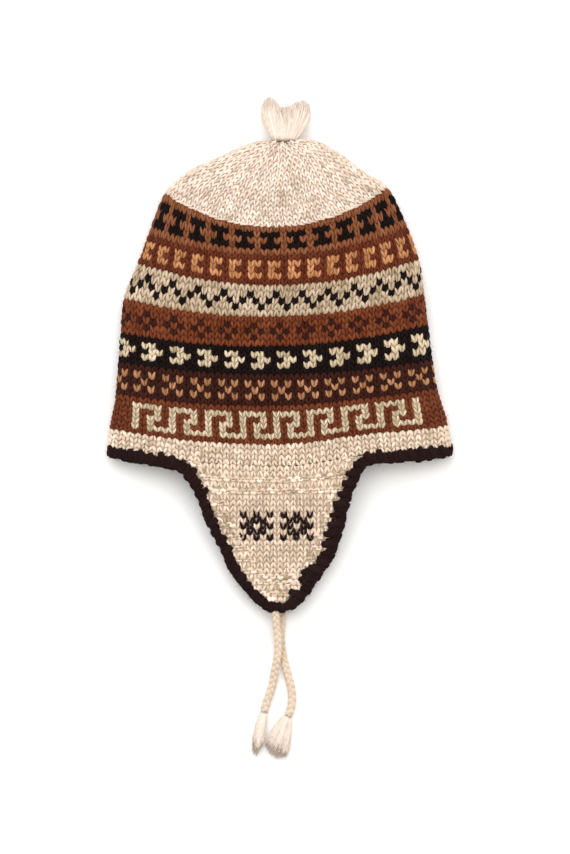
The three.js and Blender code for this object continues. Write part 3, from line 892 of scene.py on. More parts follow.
@dataclass
class FlapSurface:
    """The outer face of an ear flap.

    The middle of its thickness starts from the hem and follows the hem's curve at first. Its
    height eases from the hem's to its resting level, less a sag between its edges.

    Args:
        body: The body that it hangs from.
        upper: Whether it is the flap on top.
    """

    body: BodySurface
    upper: bool

    def __post_init__(self) -> None:
        """Keep the hem of this flap's own layer, from left to right."""
        points, _ = self.body.hem()
        half = len(points) // 2
        layer = points[: half + 1] if self.upper else np.concatenate([points[half:], points[:1]])
        self.root = layer[np.argsort(layer[:, 0])]
        self.level = 2 * EDGING_RADIUS + SEAM_GAP + EDGING_RADIUS if self.upper else WALL / 2

    def reach(self, down: Array) -> tuple[Array, Array]:
        """Give how far the flap reaches left and right at shares of its length."""
        left, right = (np.interp(down, FLAP_TABLE[:, 0], FLAP_TABLE[:, i]) for i in (1, 2))
        return left * FLAP_HALF_WIDTH, right * FLAP_HALF_WIDTH

    def middle(self, across: Array, down: Array) -> Array:
        """Give points halfway through the flap.

        Args:
            across: Distances to the right of the middle of the hem.
            down: Shares of the flap's length from its root.

        Returns:
            The points, round the middle of the hem.
        """
        root_y = np.interp(across, self.root[:, 0], self.root[:, 1])
        root_z = np.interp(across, self.root[:, 0], self.root[:, 2])
        left, right = self.reach(down)
        share = np.clip((across + left) / (left + right), 0, 1)
        smile = root_y * (1 - smooth_step(0, FLAP_SMILE_ENDS, down))
        landed = smooth_step(0, FLAP_LANDS, down)
        sag = FLAP_SAG * landed * np.sin(np.pi * share) * (1 - down) if self.upper else 0.0
        height = lerp(root_z, self.level, landed) - sag
        return np.stack([across, smile - SEAM_GAP - down * FLAP_LENGTH, height], axis=-1)

    def normal(self, across: Array, down: Array) -> Array:
        """Cross small steps to the right and down.

        Args:
            across: Distances to the right of the middle of the hem.
            down: Shares of the flap's length from its root.

        Returns:
            The outward normals.
        """
        step = 0.5 * MM
        right = self.middle(across + step, down) - self.middle(across - step, down)
        share = step / FLAP_LENGTH
        below = self.middle(across, down + share) - self.middle(across, down - share)
        normal = unit(np.cross(below, right))
        return normal if self.upper else -normal

    def place(self, wale: Array, course: Array) -> tuple[Array, Array]:
        """Give points of the outer face and their normals.

        Args:
            wale: Stitches to the right of the middle of the hem.
            course: Courses from the hem, negative down the flap.

        Returns:
            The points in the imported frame, and the outward normals.
        """
        wale, course = np.broadcast_arrays(wale, course)
        across = wale * STITCH_WIDTH
        down = -course * COURSE_HEIGHT / FLAP_LENGTH
        normal = self.normal(across, down)
        outside = self.middle(across, down) + normal * WALL / 2
        return outside + self.body.shift, normal


class Loop(Enum):
    """The visible loops of a stitch, as lines inside its cell.

    Each row holds, along the strand: how far across from the middle in stitches, how far up in
    courses, how deep the middle of the strand lies, in millimetres, and its share of the full
    thickness.
    """

    LEFT_LEG = (
        (-0.03, -0.34, 1.9, 0),
        (-0.10, -0.12, 1.2, 0.62),
        (-0.20, 0.18, 0.86, 1.0),
        (-0.31, 0.54, 0.88, 1.0),
        (-0.40, 0.88, 1.2, 0.66),
        (-0.42, 1.12, 1.9, 0),
    )
    RIGHT_LEG = tuple((-across, *others) for across, *others in LEFT_LEG)
    PURL_HEAD = (
        (-0.46, 0.30, 1.7, 0),
        (-0.34, 0.56, 0.95, 0.8),
        (-0.13, 0.74, 0.55, 1.0),
        (0.13, 0.74, 0.55, 1.0),
        (0.34, 0.56, 0.95, 0.8),
        (0.46, 0.30, 1.7, 0),
    )
    PURL_SINKER = (
        (0.04, 0.62, 1.8, 0),
        (0.16, 0.34, 1.05, 0.8),
        (0.37, 0.16, 0.65, 1.0),
        (0.63, 0.16, 0.65, 1.0),
        (0.84, 0.34, 1.05, 0.8),
        (0.96, 0.62, 1.8, 0),
    )

    def line(self) -> Array:
        """Give the rows as an array, with depths in metres."""
        return np.array(self.value) * np.array([1.0, 1.0, MM, 1.0])


@dataclass
class StitchWorker:
    """Works stitches on a surface into a draft.

    Args:
        random: Its own seeded source of small differences between stitches.
        half_width: Half width of a leg as a share of the stitch's width.
        widest: The most that the half width of a leg can be.
        half_height: Half thickness of a leg away from the fabric.
        form: How a leg is rounded.
        tilting: How far a loop turns, in stitches across for a course up.
        wandering: How far a stitch moves across, in stitches, and up, in courses.
        sinking: How far the depths of the loops differ.
        swelling: How far their thicknesses differ, as a share.
        toning: How far the tones of stitches and of loops differ.
    """

    random: np.random.Generator
    half_width: float = 0.208
    widest: float = 1.5 * MM
    half_height: float = 0.85 * MM
    form: StrandForm = StrandForm()
    tilting: float = 0.06
    wandering: tuple[float, float] = (0.035, 0.04)
    sinking: float = 0.12 * MM
    swelling: float = 0.13
    toning: float = 0.055

    def work(
        self,
        draft: PieceDraft,
        surface: KnitSurface,
        loops: tuple[Loop, ...],
        wale: Array,
        course: Array,
        width: float = 1.0,
        wildness: float = 1.0,
        fullness: float = 1.0,
    ) -> None:
        """Add the loops of some stitches.

        A point of a loop lies at the stitch's middle plus its own share of the stitch's width,
        and at the stitch's course plus its own share of a course, sunk under the surface by its
        own depth. Each stitch is moved, turned, swollen and toned a little at random.

        Args:
            draft: The draft to add to.
            surface: The surface that the stitches lie on.
            loops: The loops of each stitch.
            wale: The middles of the stitches.
            course: Their courses.
            width: Their width in stitches of the surface.
            wildness: How unevenly they are worked.
            fullness: How thick their loops are.
        """
        count = len(wale)
        if count == 0:
            return
        aside, rise, tone = self.random.normal(0, wildness, (3, count))
        for loop in loops:
            own_tilt, own_size, own_depth, own_tone = self.random.normal(0, wildness, (4, count))
            across, up, depth, thickness = loop.line().T[:, None]
            lean = self.tilting * own_tilt[:, None] * (up - 0.45)
            astray = self.wandering[0] * aside[:, None]
            loop_wale = wale[:, None] + width * (across + lean + astray)
            loop_course = course[:, None] + up + self.wandering[1] * rise[:, None]
            point, normal = surface.place(loop_wale, loop_course)
            sunk = depth + self.sinking * own_depth[:, None]
            centres = point - normal * np.maximum(sunk, self.half_height * thickness)[..., None]
            step, _ = surface.place(wale + 0.5 * width, course + 0.5)
            back, _ = surface.place(wale - 0.5 * width, course + 0.5)
            reach = np.linalg.norm(step - back, axis=-1)[:, None]
            swell = fullness * np.clip(1 + self.swelling * own_size[:, None], 0.7, 1.4)
            half_width = np.minimum(self.half_width * reach, self.widest) * swell * thickness
            half_height = self.half_height * swell * thickness
            centres[..., 2] = np.maximum(centres[..., 2], half_height)
            tones = 0.5 + self.toning * tone + self.toning * own_tone
            self.form.add_to(draft, centres, normal, half_width, half_height, tones)


@dataclass(frozen=True)
class Band:
    """A band of stranded knitting, or a plain stretch where it has no chart.

    Args:
        name: Its name in the names of pieces.
        first: Its first course.
        courses: How many courses it has.
        ground: The yarn of its ground.
        figure: The yarn of its figures.
        chart: Its figures from the top down, X for the figure's yarn.
        start: The stitch at which a repeat of the chart begins.
        begins: The stitch up to which the upper layer is worked plain.
        ends: The stitch past which the round is worked plain.
        fullness: How thick its figures' loops are.
    """

    name: str
    first: int
    courses: int
    ground: Yarn
    figure: Yarn | None = None
    chart: tuple[str, ...] = ()
    start: int = 0
    begins: int = 0
    ends: int = LAYER_WALES
    fullness: float = 1.0

    def figured(self, stitch: Numbers, course: int) -> Marks:
        """Tell which stitches of a course are worked in the figure's yarn.

        Args:
            stitch: Numbers of stitches, negative on the lower layer.
            course: The course.

        Returns:
            True for each figured stitch.
        """
        row = self.first + self.courses - 2 - course
        if not 0 <= row < len(self.chart):
            return np.zeros(len(stitch), dtype=bool)
        marks = np.array([mark == "X" for mark in self.chart[row]])
        plain = (stitch >= self.ends) | ((stitch >= 0) & (stitch < self.begins))
        return marks[(stitch - self.start) % len(marks)] & ~plain


BANDS: tuple[Band, ...] = (
    Band("hem", 0, 4, Yarn.WARM_CREAM),
    Band("key_band", 4, 7, Yarn.RUST, Yarn.WHITE,
         ("XXXX.", "X..X.", "X.XX.", "X.X..", "X.XXX"), start=3, begins=3, ends=44, fullness=0.86),
    Band("spark_band", 11, 5, Yarn.UMBER, Yarn.FAWN, ("X.X.", ".X..", "X.X."), start=3),
    Band("flower_band", 16, 5, Yarn.BLACK, Yarn.WHITE, ("XX..", ".XX.", "XX..")),
    Band("diamond_band", 21, 5, Yarn.RUST_BROWN, Yarn.DARK_BROWN, ("X...", ".X.X", "X...")),
    Band("wave_band", 26, 5, Yarn.OAT, Yarn.BLACK, ("..X.", ".X.X", "X..."), start=1, fullness=1.2),
    Band("bracket_band", 31, 5, Yarn.RED_BROWN, Yarn.TAN, ("XX.", "X..", "XX."), start=1),
    Band("anchor_band", 36, 5, Yarn.LIGHT_RUST, Yarn.BLACK, (".XXX", "..X.", ".XXX")),
    Band("crown", 41, 19, Yarn.CREAM),
)

# How far the columns of stitches are set over from the left fold, in stitches
WALE_SHIFT = 0.32


@dataclass
class KnittedBody:
    """The body: a layer of stitches for each band and yarn over the fabric that backs them.

    Args:
        surface: The outside of the body.
        dresser: Gives the yarns' materials.
        backing_shade_tone: Painted shade of the backing: a tone darker than the stitches.
        lowest: How near the backing comes to the table.
        crown_stitch: Width of a stitch where the crown is decreased.
        wildness: How unevenly the stitches are worked.
        seed: Seed of the first band's differences, and one more for each band after it.
    """

    surface: BodySurface
    dresser: YarnDresser
    backing_shade_tone: float = 0.3
    lowest: float = 0.4 * MM
    crown_stitch: float = 4.4 * MM
    wildness: float = 1.35
    seed: int = 100

    def stitches_round(self, course: int) -> int:
        """Count the stitches of a course: all of them in the bands, eights in the crown.

        Args:
            course: The course.

        Returns:
            The count.
        """
        if course < BANDS[-1].first:
            return ROUND_WALES
        length = float(np.interp(course + 0.5, self.surface.courses, self.surface.round_length))
        eights = max(1, round(length / (8 * self.crown_stitch)))
        return min(8 * eights, ROUND_WALES)

    def build(self) -> None:
        """Work every band and then the backing."""
        legs = (Loop.LEFT_LEG, Loop.RIGHT_LEG)
        for number, band in enumerate(BANDS):
            worker = StitchWorker(np.random.default_rng(self.seed + number))
            ground = PieceDraft(f"{band.name}_ground_stitches")
            figure = PieceDraft(f"{band.name}_figure_stitches")
            for course in range(band.first, band.first + band.courses):
                count = self.stitches_round(course)
                width = ROUND_WALES / count
                index = np.arange(count)
                wale = (index + 0.5) * width + WALE_SHIFT
                signed = np.where(index < LAYER_WALES, index, index - ROUND_WALES)
                marked = band.figured(signed, course)
                level = np.full(count, float(course))
                parts = ((ground, ~marked, 1.0), (figure, marked, band.fullness))
                for draft, chosen, fullness in parts:
                    worker.work(draft, self.surface, legs, wale[chosen], level[chosen], width,
                                wildness=self.wildness, fullness=fullness)
            ground.build([self.dresser.material(band.ground)])
            if band.figure is not None:
                piece = figure.build([self.dresser.material(band.figure)])
        self.build_backing()

    def build_backing(self) -> None:
        """Make the closed shell behind the stitches, each cell in its stitch's yarn toned as painted
        shade.
        """
        courses = np.arange(LAST_RING + 1, dtype=float)
        stitches = np.arange(ROUND_WALES)
        wale, course = np.meshgrid(stitches + WALE_SHIFT, courses)
        outside, normal = self.surface.place(wale, course)
        tip, _ = self.surface.place(np.array([0.0]), np.array([float(TOP_COURSE)]))
        tip = tip - np.array([[0.0, WALL, 0.0]])
        shells = [outside - normal * BACKING_DEPTH, outside - normal * WALL]
        tips = [tip + np.array([[0.0, WALL - BACKING_DEPTH, 0.0]]), tip]
        rings = len(courses)
        per_shell = rings * ROUND_WALES
        vertices = np.concatenate([shells[0].reshape(-1, 3), shells[1].reshape(-1, 3), *tips])
        vertices[:, 2] = np.maximum(vertices[:, 2], self.lowest)
        row, column = np.meshgrid(np.arange(rings - 1), stitches, indexing="ij")
        after = (column + 1) % ROUND_WALES
        low, low_after = row * ROUND_WALES + column, row * ROUND_WALES + after
        high, high_after = low + ROUND_WALES, low_after + ROUND_WALES
        outer = np.stack([low, low_after, high_after, high], axis=-1).reshape(-1, 4)
        inner = outer[:, ::-1] + per_shell
        following = (stitches + 1) % ROUND_WALES
        rim = np.stack([stitches, stitches + per_shell, following + per_shell, following], axis=-1)
        last = (rings - 1) * ROUND_WALES
        pole = np.full(ROUND_WALES, 2 * per_shell)
        outer_cap = np.stack([last + stitches, last + following, pole], axis=-1)
        inner_cap = outer_cap[:, [1, 0, 2]] + np.array([per_shell, per_shell, 1])
        yarns, numbers = self.backing_yarns(rings - 1)
        local = cell_corners(
            (column / ROUND_WALES, row / rings), ((column + 1) / ROUND_WALES, (row + 1) / rings)
        )
        rim_u = np.stack([stitches, stitches, stitches + 1, stitches + 1], axis=-1) / ROUND_WALES
        rim_local = np.stack([rim_u, np.full_like(rim_u, 0.5)], axis=-1)
        cap_u = np.stack([stitches, stitches + 1, stitches + 0.5], axis=-1) / ROUND_WALES
        cap_v = np.broadcast_to(np.array([(rings - 1) / rings] * 2 + [1.0]), cap_u.shape)
        cap_local = np.stack([cap_u, cap_v], axis=-1)
        scale = np.array([ROUND_WALES, float(rings)])
        cells = len(outer)
        zeros = np.zeros(ROUND_WALES, int)
        last_yarn = zeros + numbers[-1]
        draft = PieceDraft("knitted_backing")
        # Its low tone is painted shade: the gaps between the loops darkened into the backing's colour.
        draft.add(vertices, np.full(len(vertices), self.backing_shade_tone), [
            Faces(outer, local, local * scale, np.zeros(cells, int), numbers),
            Faces(inner, local[:, ::-1], local[:, ::-1] * scale, np.ones(cells, int), numbers),
            Faces(rim, rim_local, rim_local, zeros + 2, zeros),
            Faces(outer_cap, cap_local, cap_local * scale, zeros, last_yarn),
            Faces(inner_cap, cap_local[:, [1, 0, 2]], cap_local * scale, zeros + 1, last_yarn),
        ], 3)
        piece = draft.build([self.dresser.material(yarn) for yarn in yarns])
        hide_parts("knitted_body")

    @staticmethod
    def backing_yarns(rows: int) -> tuple[list[Yarn], Numbers]:
        """List the yarns of the backing and number its cells.

        Args:
            rows: How many courses of cells there are.

        Returns:
            The yarns, and the number of each cell's yarn, course by course.
        """
        yarns: list[Yarn] = []
        numbers = []
        index = np.arange(ROUND_WALES)
        signed = np.where(index < LAYER_WALES, index, index - ROUND_WALES)
        for band in BANDS:
            for yarn in (band.ground, band.figure):
                if yarn is not None and yarn not in yarns:
                    yarns.append(yarn)
            for course in range(band.first, min(band.first + band.courses, rows)):
                marked = band.figured(signed, course)
                ground = yarns.index(band.ground)
                figure = yarns.index(band.figure) if band.figure is not None else ground
                numbers.append(np.where(marked, figure, ground))
        return yarns, np.concatenate(numbers)


@dataclass
class EarFlap:
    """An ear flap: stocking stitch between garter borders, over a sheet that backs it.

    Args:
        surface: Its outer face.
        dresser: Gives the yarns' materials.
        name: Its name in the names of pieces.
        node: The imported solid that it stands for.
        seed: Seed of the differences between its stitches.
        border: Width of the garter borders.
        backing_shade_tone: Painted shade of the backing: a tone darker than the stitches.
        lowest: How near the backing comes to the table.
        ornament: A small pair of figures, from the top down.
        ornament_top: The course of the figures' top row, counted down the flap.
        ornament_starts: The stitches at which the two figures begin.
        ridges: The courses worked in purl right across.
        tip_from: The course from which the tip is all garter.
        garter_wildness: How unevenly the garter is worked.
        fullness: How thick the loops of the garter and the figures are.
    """

    surface: FlapSurface
    dresser: YarnDresser
    name: str
    node: str
    seed: int
    border: float = 11.5 * MM
    backing_shade_tone: float = 0.32
    lowest: float = 0.05 * MM
    ornament: tuple[str, ...] = ("X.X.X", ".XXX.", "XX.XX", ".XXX.", "X.X.X")
    ornament_top: int = 8
    ornament_starts: tuple[int, int] = (-6, 0)
    ridges: tuple[int, ...] = (2, 4, 19)
    tip_from: int = 20
    garter_wildness: float = 2.2
    fullness: float = 1.15

    def cells(self) -> tuple[Numbers, Numbers, Array, Array]:
        """List the cells of the flap.

        Returns:
            The stitch and the course of each, and how far inside the left and right edges its
            middle lies.
        """
        courses = math.floor(FLAP_LENGTH / COURSE_HEIGHT) + 1
        half = math.ceil(FLAP_HALF_WIDTH / STITCH_WIDTH) + 1
        stitch, course = np.meshgrid(np.arange(-half, half), np.arange(courses))
        stitch, course = stitch.ravel(), course.ravel()
        left, right = self.surface.reach((course + 0.5) * COURSE_HEIGHT / FLAP_LENGTH)
        across = (stitch + 0.5) * STITCH_WIDTH
        from_left, from_right = across + left, right - across
        overlap = 0.2 * STITCH_WIDTH
        inside = (from_left > -overlap) & (from_right > overlap)
        return stitch[inside], course[inside], from_left[inside], from_right[inside]

    def marked(self, stitch: Numbers, course: Numbers) -> Marks:
        """Tell which stitches belong to the pair of small figures.

        Args:
            stitch: The stitches.
            course: Their courses.

        Returns:
            True for each that does.
        """
        chart = np.array([[mark == "X" for mark in row] for row in self.ornament])
        row = course - self.ornament_top
        result = np.zeros(len(stitch), dtype=bool)
        for start in self.ornament_starts:
            column = stitch - start
            known = (row >= 0) & (row < chart.shape[0]) & (column >= 0) & (column < chart.shape[1])
            result[known] |= chart[row[known], column[known]]
        return result

    def build(self) -> None:
        """Work the stitches, the garter loops and the backing."""
        worker = StitchWorker(np.random.default_rng(self.seed))
        stitch, course, from_left, from_right = self.cells()
        garter = (np.minimum(from_left, from_right) < self.border) | (course >= self.tip_from)
        ridge = np.isin(course, self.ridges)
        marked = self.marked(stitch, course) & ~garter
        plain = ~garter & ~ridge
        raised = 0.25
        wale, level = stitch + 0.5, raised - (course + 1.0)
        stitches = PieceDraft(f"{self.name}_stitches")
        legs = (Loop.LEFT_LEG, Loop.RIGHT_LEG)
        unmarked = plain & ~marked
        worker.work(stitches, self.surface, legs, wale[unmarked], level[unmarked])
        stitches.build([self.dresser.material(Yarn.WARM_CREAM)])
        loops = PieceDraft(f"{self.name}_garter")
        knobbly = (garter & (course % 2 == 0)) | (ridge & ~garter)
        between = garter & (course % 2 == 1)
        purls = (Loop.PURL_HEAD, Loop.PURL_SINKER)
        rough = {"wildness": self.garter_wildness, "fullness": self.fullness}
        worker.work(loops, self.surface, purls, wale[knobbly], level[knobbly], **rough)
        worker.work(loops, self.surface, legs, wale[between], level[between], **rough)
        loops.build([self.dresser.material(Yarn.WARM_CREAM)])
        if self.surface.upper:
            figures = PieceDraft(f"{self.name}_figures")
            chosen = plain & marked
            worker.work(figures, self.surface, legs, wale[chosen], level[chosen],
                        fullness=self.fullness)
            figures.build([self.dresser.material(Yarn.BLACK_BROWN)])
        self.build_backing()

    def build_backing(self) -> None:
        """Make the closed sheet behind the stitches, toned as painted shade, from the outline's left
        to its right.
        """
        rows, columns = 48, 33
        down = np.linspace(0, 1, rows)[:, None] * np.ones((1, columns))
        left, right = self.surface.reach(down)
        share = np.linspace(0, 1, columns)[None]
        across = lerp(-left, right, share)
        normal = self.surface.normal(across, down)
        middle = self.surface.middle(across, down) + self.surface.body.shift
        face = middle + normal * (WALL / 2 - BACKING_DEPTH)
        back = middle - normal * WALL / 2
        vertices = np.concatenate([face.reshape(-1, 3), back.reshape(-1, 3)])
        vertices[:, 2] = np.maximum(vertices[:, 2], self.lowest)
        number = np.arange(rows * columns).reshape(rows, columns)
        behind = number + rows * columns
        front = np.stack([number[1:, :-1], number[1:, 1:], number[:-1, 1:], number[:-1, :-1]], -1)
        rear = np.stack([behind[:-1, :-1], behind[:-1, 1:], behind[1:, 1:], behind[1:, :-1]], -1)
        loop = np.concatenate([number[0], number[1:, -1], number[-1, -2::-1], number[-2:0:-1, 0]])
        after = np.roll(loop, -1)
        edge = np.stack([loop, after, after + rows * columns, loop + rows * columns], axis=-1)
        if not self.surface.upper:
            front, rear, edge = front[..., ::-1], rear[..., ::-1], edge[..., ::-1]
        scale = np.array([2 * FLAP_HALF_WIDTH / STITCH_WIDTH, FLAP_LENGTH / COURSE_HEIGHT])
        kinds = []
        for cell, corners in enumerate((front.reshape(-1, 4), rear.reshape(-1, 4), edge)):
            flat = corners % (rows * columns)
            local = np.stack([(flat % columns) / (columns - 1), (flat // columns) / (rows - 1)], -1)
            zeros = np.zeros(len(corners), int)
            kinds.append(Faces(corners, local, local * scale, zeros + cell, zeros))
        draft = PieceDraft(f"{self.name}_backing")
        # Its low tone is painted shade: the gaps between the loops darkened into the backing's colour.
        draft.add(vertices, np.full(len(vertices), self.backing_shade_tone), kinds, len(kinds))
        piece = draft.build([self.dresser.material(Yarn.WARM_CREAM)])
        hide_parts(self.node)


@dataclass
class StitchLine:
    """Where the edging's stitches start on its middle line.

    Args:
        roots: The points.
        axes: The directions along the line, away from the knitting and off the fabric.
        jitter: Rows of small differences, a number for each stitch.
    """

    roots: Array
    axes: tuple[Array, Array, Array]
    jitter: Array

    def by_turns(self, sizes: tuple[float, float]) -> Array:
        """Give the stitches the long and the short size by turns, as a column."""
        return np.where(np.arange(len(self.roots)) % 2 == 0, *sizes)[:, None]

    def step_off(self, *steps: Array) -> Array:
        """Step from each root in its three directions.

        Args:
            steps: How far to go in each direction, for all roots or by root.

        Returns:
            The points, by root and then along the loop.
        """
        points = self.roots[:, None]
        for axis, step in zip(self.axes, steps):
            points = points + axis[:, None] * step[..., None]
        return points


@dataclass
class CrochetedEdging:
    """The dark edging, crocheted round the hem and the flaps in one closed line.

    Args:
        body: The body's surface.
        upper: The upper flap's surface.
        lower: The lower flap's surface.
        dresser: Gives the yarns' materials.
        pitch: Length of one crocheted stitch.
        core: Radius of the round of yarn under the stitches.
        smoothing: Steps over which the line is evened at its corners.
        uneven: How much the thicknesses and lengths of loops differ, as a share.
        seed: Seed of the differences.
    """

    body: BodySurface
    upper: FlapSurface
    lower: FlapSurface
    dresser: YarnDresser
    pitch: float = 4.15 * MM
    core: float = 2.9 * MM
    smoothing: int = 5
    uneven: float = 0.06
    seed: int = 31

    def hem_stretch(self, right: bool) -> tuple[Array, Array]:
        """Follow the hem round one side fold, from one flap's corner to the other's.

        Args:
            right: Whether it is the right fold, followed from the upper flap to the lower one,
                or else the left fold, followed from the lower flap to the upper one.

        Returns:
            The points and their normals.
        """
        points, normals = self.body.hem()
        half = len(points) // 2
        reach = FLAP_TABLE[0, 2 if right else 1] * FLAP_HALF_WIDTH
        if right:
            parts = (np.arange(0, half), np.arange(-half + 1, 0))
            beyond = points[:, 0] > reach
        else:
            parts = (np.arange(half, 2 * half), np.arange(0, half))
            beyond = points[:, 0] < -reach
        order = np.concatenate([part[beyond[part]][::-1] for part in parts])
        return points[order], normals[order]

    def flap_stretch(self, flap: FlapSurface, from_right: bool) -> tuple[Array, Array]:
        """Follow a flap's outline down one side, round the tip and up the other side.

        Args:
            flap: The flap.
            from_right: Whether it starts down the right side.

        Returns:
            The points and their normals.
        """
        down = np.linspace(0, 1, 70)
        left, right = flap.reach(down)
        tip_across = np.linspace(-left[-1], right[-1], 9)[1:-1]
        sides = [(-left, down), (tip_across, np.ones(len(tip_across))), (right[::-1], down[::-1])]
        across = np.concatenate([side[0] for side in sides])
        along = np.concatenate([side[1] for side in sides])
        if from_right:
            across, along = across[::-1], along[::-1]
        return flap.middle(across, along), flap.normal(across, along)

    def line(self) -> tuple[Array, Array, Array]:
        """Work out the closed middle line of the edging.

        Returns:
            Points at equal steps of half a stitch, the directions away from the knitting, and
            the normals of the fabric.
        """
        stretches = [
            self.hem_stretch(right=True),
            self.flap_stretch(self.lower, from_right=True),
            self.hem_stretch(right=False),
            self.flap_stretch(self.upper, from_right=False),
        ]
        points = np.concatenate([stretch[0] for stretch in stretches])
        normals = np.concatenate([stretch[1] for stretch in stretches])
        count = 2 * round(along_lengths(np.concatenate([points, points[:1]]))[-1] / self.pitch)
        points, normals = self.even(points, normals, count)
        for _ in range(2):
            tangent = unit(np.roll(points, -1, axis=0) - np.roll(points, 1, axis=0))
            outward = unit(np.cross(tangent, normals))
            outward = unit(self.blur(outward))
        centre = points + outward * (EDGING_RADIUS + SEAM_GAP)
        centre = self.blur(centre)
        centre, normals = self.even(centre, normals, count)
        tangent = unit(np.roll(centre, -1, axis=0) - np.roll(centre, 1, axis=0))
        outward = unit(np.cross(tangent, normals))
        centre[:, 2] = np.maximum(centre[:, 2], EDGING_RADIUS)
        return centre + self.body.shift, outward, unit(normals)

    def even(self, points: Array, normals: Array, count: int) -> tuple[Array, Array]:
        """Space a closed line evenly.

        Args:
            points: Its points.
            normals: The normals at them.
            count: How many points it is to have.

        Returns:
            The even points and their normals.
        """
        closed = np.concatenate([points, points[:1]])
        closed_normals = np.concatenate([normals, normals[:1]])
        reached = along_lengths(closed)
        wanted = reached[-1] * np.arange(count) / count
        return resample(closed, reached, wanted), unit(resample(closed_normals, reached, wanted))

    def blur(self, values: Array) -> Array:
        """Average the values of a closed line: half of each and a quarter of both neighbours.

        Args:
            values: The values.

        Returns:
            What they are after every step.
        """
        result = values.copy()
        for _ in range(self.smoothing):
            result = 0.5 * result + 0.25 * (np.roll(result, 1, axis=0) + np.roll(result, -1, axis=0))
        return result

    def build(self) -> None:
        """Work the core and the crocheted stitches over it."""
        random = np.random.default_rng(self.seed)
        centre, outward, normal = self.line()
        tangent = unit(np.roll(centre, -1, axis=0) - np.roll(centre, 1, axis=0))
        jitter = random.normal(0, 1, (6, len(centre) // 2))
        line = StitchLine(centre[::2], (tangent[::2], outward[::2], normal[::2]), jitter)
        draft = PieceDraft("edging_stitches")
        self.add_loops(draft, line)
        self.add_teeth(draft, line)
        self.add_join(draft, random)
        stitches = draft.build([self.dresser.material(Yarn.BLACK_BROWN)])
        self.build_core(centre, outward, normal)

    def add_loops(self, draft: PieceDraft, line: StitchLine) -> None:
        """Lay the loops of every stitch: two on each face and one round the rim.

        Args:
            draft: The draft to add to.
            line: Where the stitches start.
        """
        shares = np.array([0, 0.12, 0.34, 0.62, 0.86, 1.0])
        thick = np.array([0, 0.78, 1.0, 1.0, 0.78, 0])
        middle_out, lean, low, swell = 1.35 * MM, 1.6 * MM, 1.5 * MM, 0.9 * MM
        rim = line.by_turns((2.2 * MM, 1.1 * MM)) + 0.4 * MM * line.jitter[5][:, None]
        length = 1.45 * self.pitch * (1 + self.uneven * line.jitter[0])[:, None]
        for side, face in ((1.0, 1.0), (-1.0, 1.0), (0.0, 0.15), (1.0, -1.0), (-1.0, -1.0)):
            across = side * (middle_out + (shares - 0.5) * lean)
            out = across if side else rim * np.ones(len(shares))
            height = face * (low + swell * np.sin(np.pi * shares))
            centres = line.step_off(length * (shares - 0.5), out, height)
            over = line.axes[2] * (face if side else 1.0)
            radius = 1.45 * MM if side else line.by_turns((2.0 * MM, 1.4 * MM))
            self.add_strands(draft, centres, over, thick, line.jitter[1], radius)

    def add_teeth(self, draft: PieceDraft, line: StitchLine) -> None:
        """Lay the blunt teeth that reach in over the knitting, on both faces.

        Args:
            draft: The draft to add to.
            line: Where the stitches start.
        """
        shares = np.array([0, 0.08, 0.3, 0.62, 0.88, 1.0])
        blunt = np.array([0, 0.86, 1.0, 1.0, 0.8, 0])
        rise = np.array([1.0, 1.6, 2.0, 2.2, 1.8, 0.7]) * MM
        radius = line.by_turns((3.0 * MM, 1.8 * MM))
        inner = self.tooth_reach(line.roots) * (1 + 0.16 * line.jitter[3])
        outer = 2.4 * MM
        out = lerp(inner[:, None], outer, shares)
        slide = (shares - 0.5) * (4.4 * MM + 0.8 * MM * line.jitter[4][:, None])
        for face in (1.0, -1.0):
            centres = line.step_off(slide, out, face * rise)
            over = line.axes[2] * face
            self.add_strands(draft, centres, over, blunt, 1.5 * line.jitter[2], radius)

    def tooth_reach(self, centre: Array) -> Array:
        """Tell how far in from the middle line each tooth of the edging starts.

        Long and short teeth take turns. They are long on the flaps' right sides, shorter on the
        left sides and shortest round the tips.

        Args:
            centre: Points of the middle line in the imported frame, one for each tooth.

        Returns:
            The distances, negative over the knitting.
        """
        across, up, _ = (centre - self.body.shift).T
        long = np.arange(len(centre)) % 2 == 0
        on_flap = smooth_step(-12 * MM, -30 * MM, up)
        right = smooth_step(-5 * MM, 15 * MM, across)
        side_long = lerp(-5.0 * MM, -8.8 * MM, right)
        side_short = lerp(-4.2 * MM, -6.8 * MM, right)
        longer = lerp(-7.2 * MM, side_long, on_flap)
        shorter = lerp(-5.0 * MM, side_short, on_flap)
        reach = np.where(long, longer, shorter)
        near_tip = np.exp(-((across / (9 * MM)) ** 2)) * (up < -98 * MM)
        return lerp(reach, -1.8 * MM, near_tip)

    def add_join(self, draft: PieceDraft, random: np.random.Generator) -> None:
        """Wind the few turns of yarn where the round was joined, near the upper flap's tip.

        Args:
            draft: The draft to add to.
            random: The source of their differences.
        """
        count = 9
        length = 9 * MM
        join_across, join_down = 20.8 * MM, 0.79
        share = np.linspace(-0.5, 0.5, 6)[None]
        lean = random.normal(0.75, 0.5, (count, 1))
        aside, lower = random.normal(0, 2.3 * MM, (2, count, 1))
        across = join_across + aside + length * share * np.cos(lean)
        down = join_down + (lower - length * share * np.sin(lean)) / FLAP_LENGTH
        normal = self.upper.normal(across, down)
        height = 1.6 * MM + 1.7 * MM * np.sin(np.pi * (share + 0.5))
        centres = self.upper.middle(across, down) + self.body.shift + normal * height[..., None]
        thick = np.array([0, 0.8, 1.0, 1.0, 0.8, 0])
        radius = 1.8 * MM
        self.add_strands(draft, centres, normal[:, 2], thick, random.normal(0, 1, count), radius)

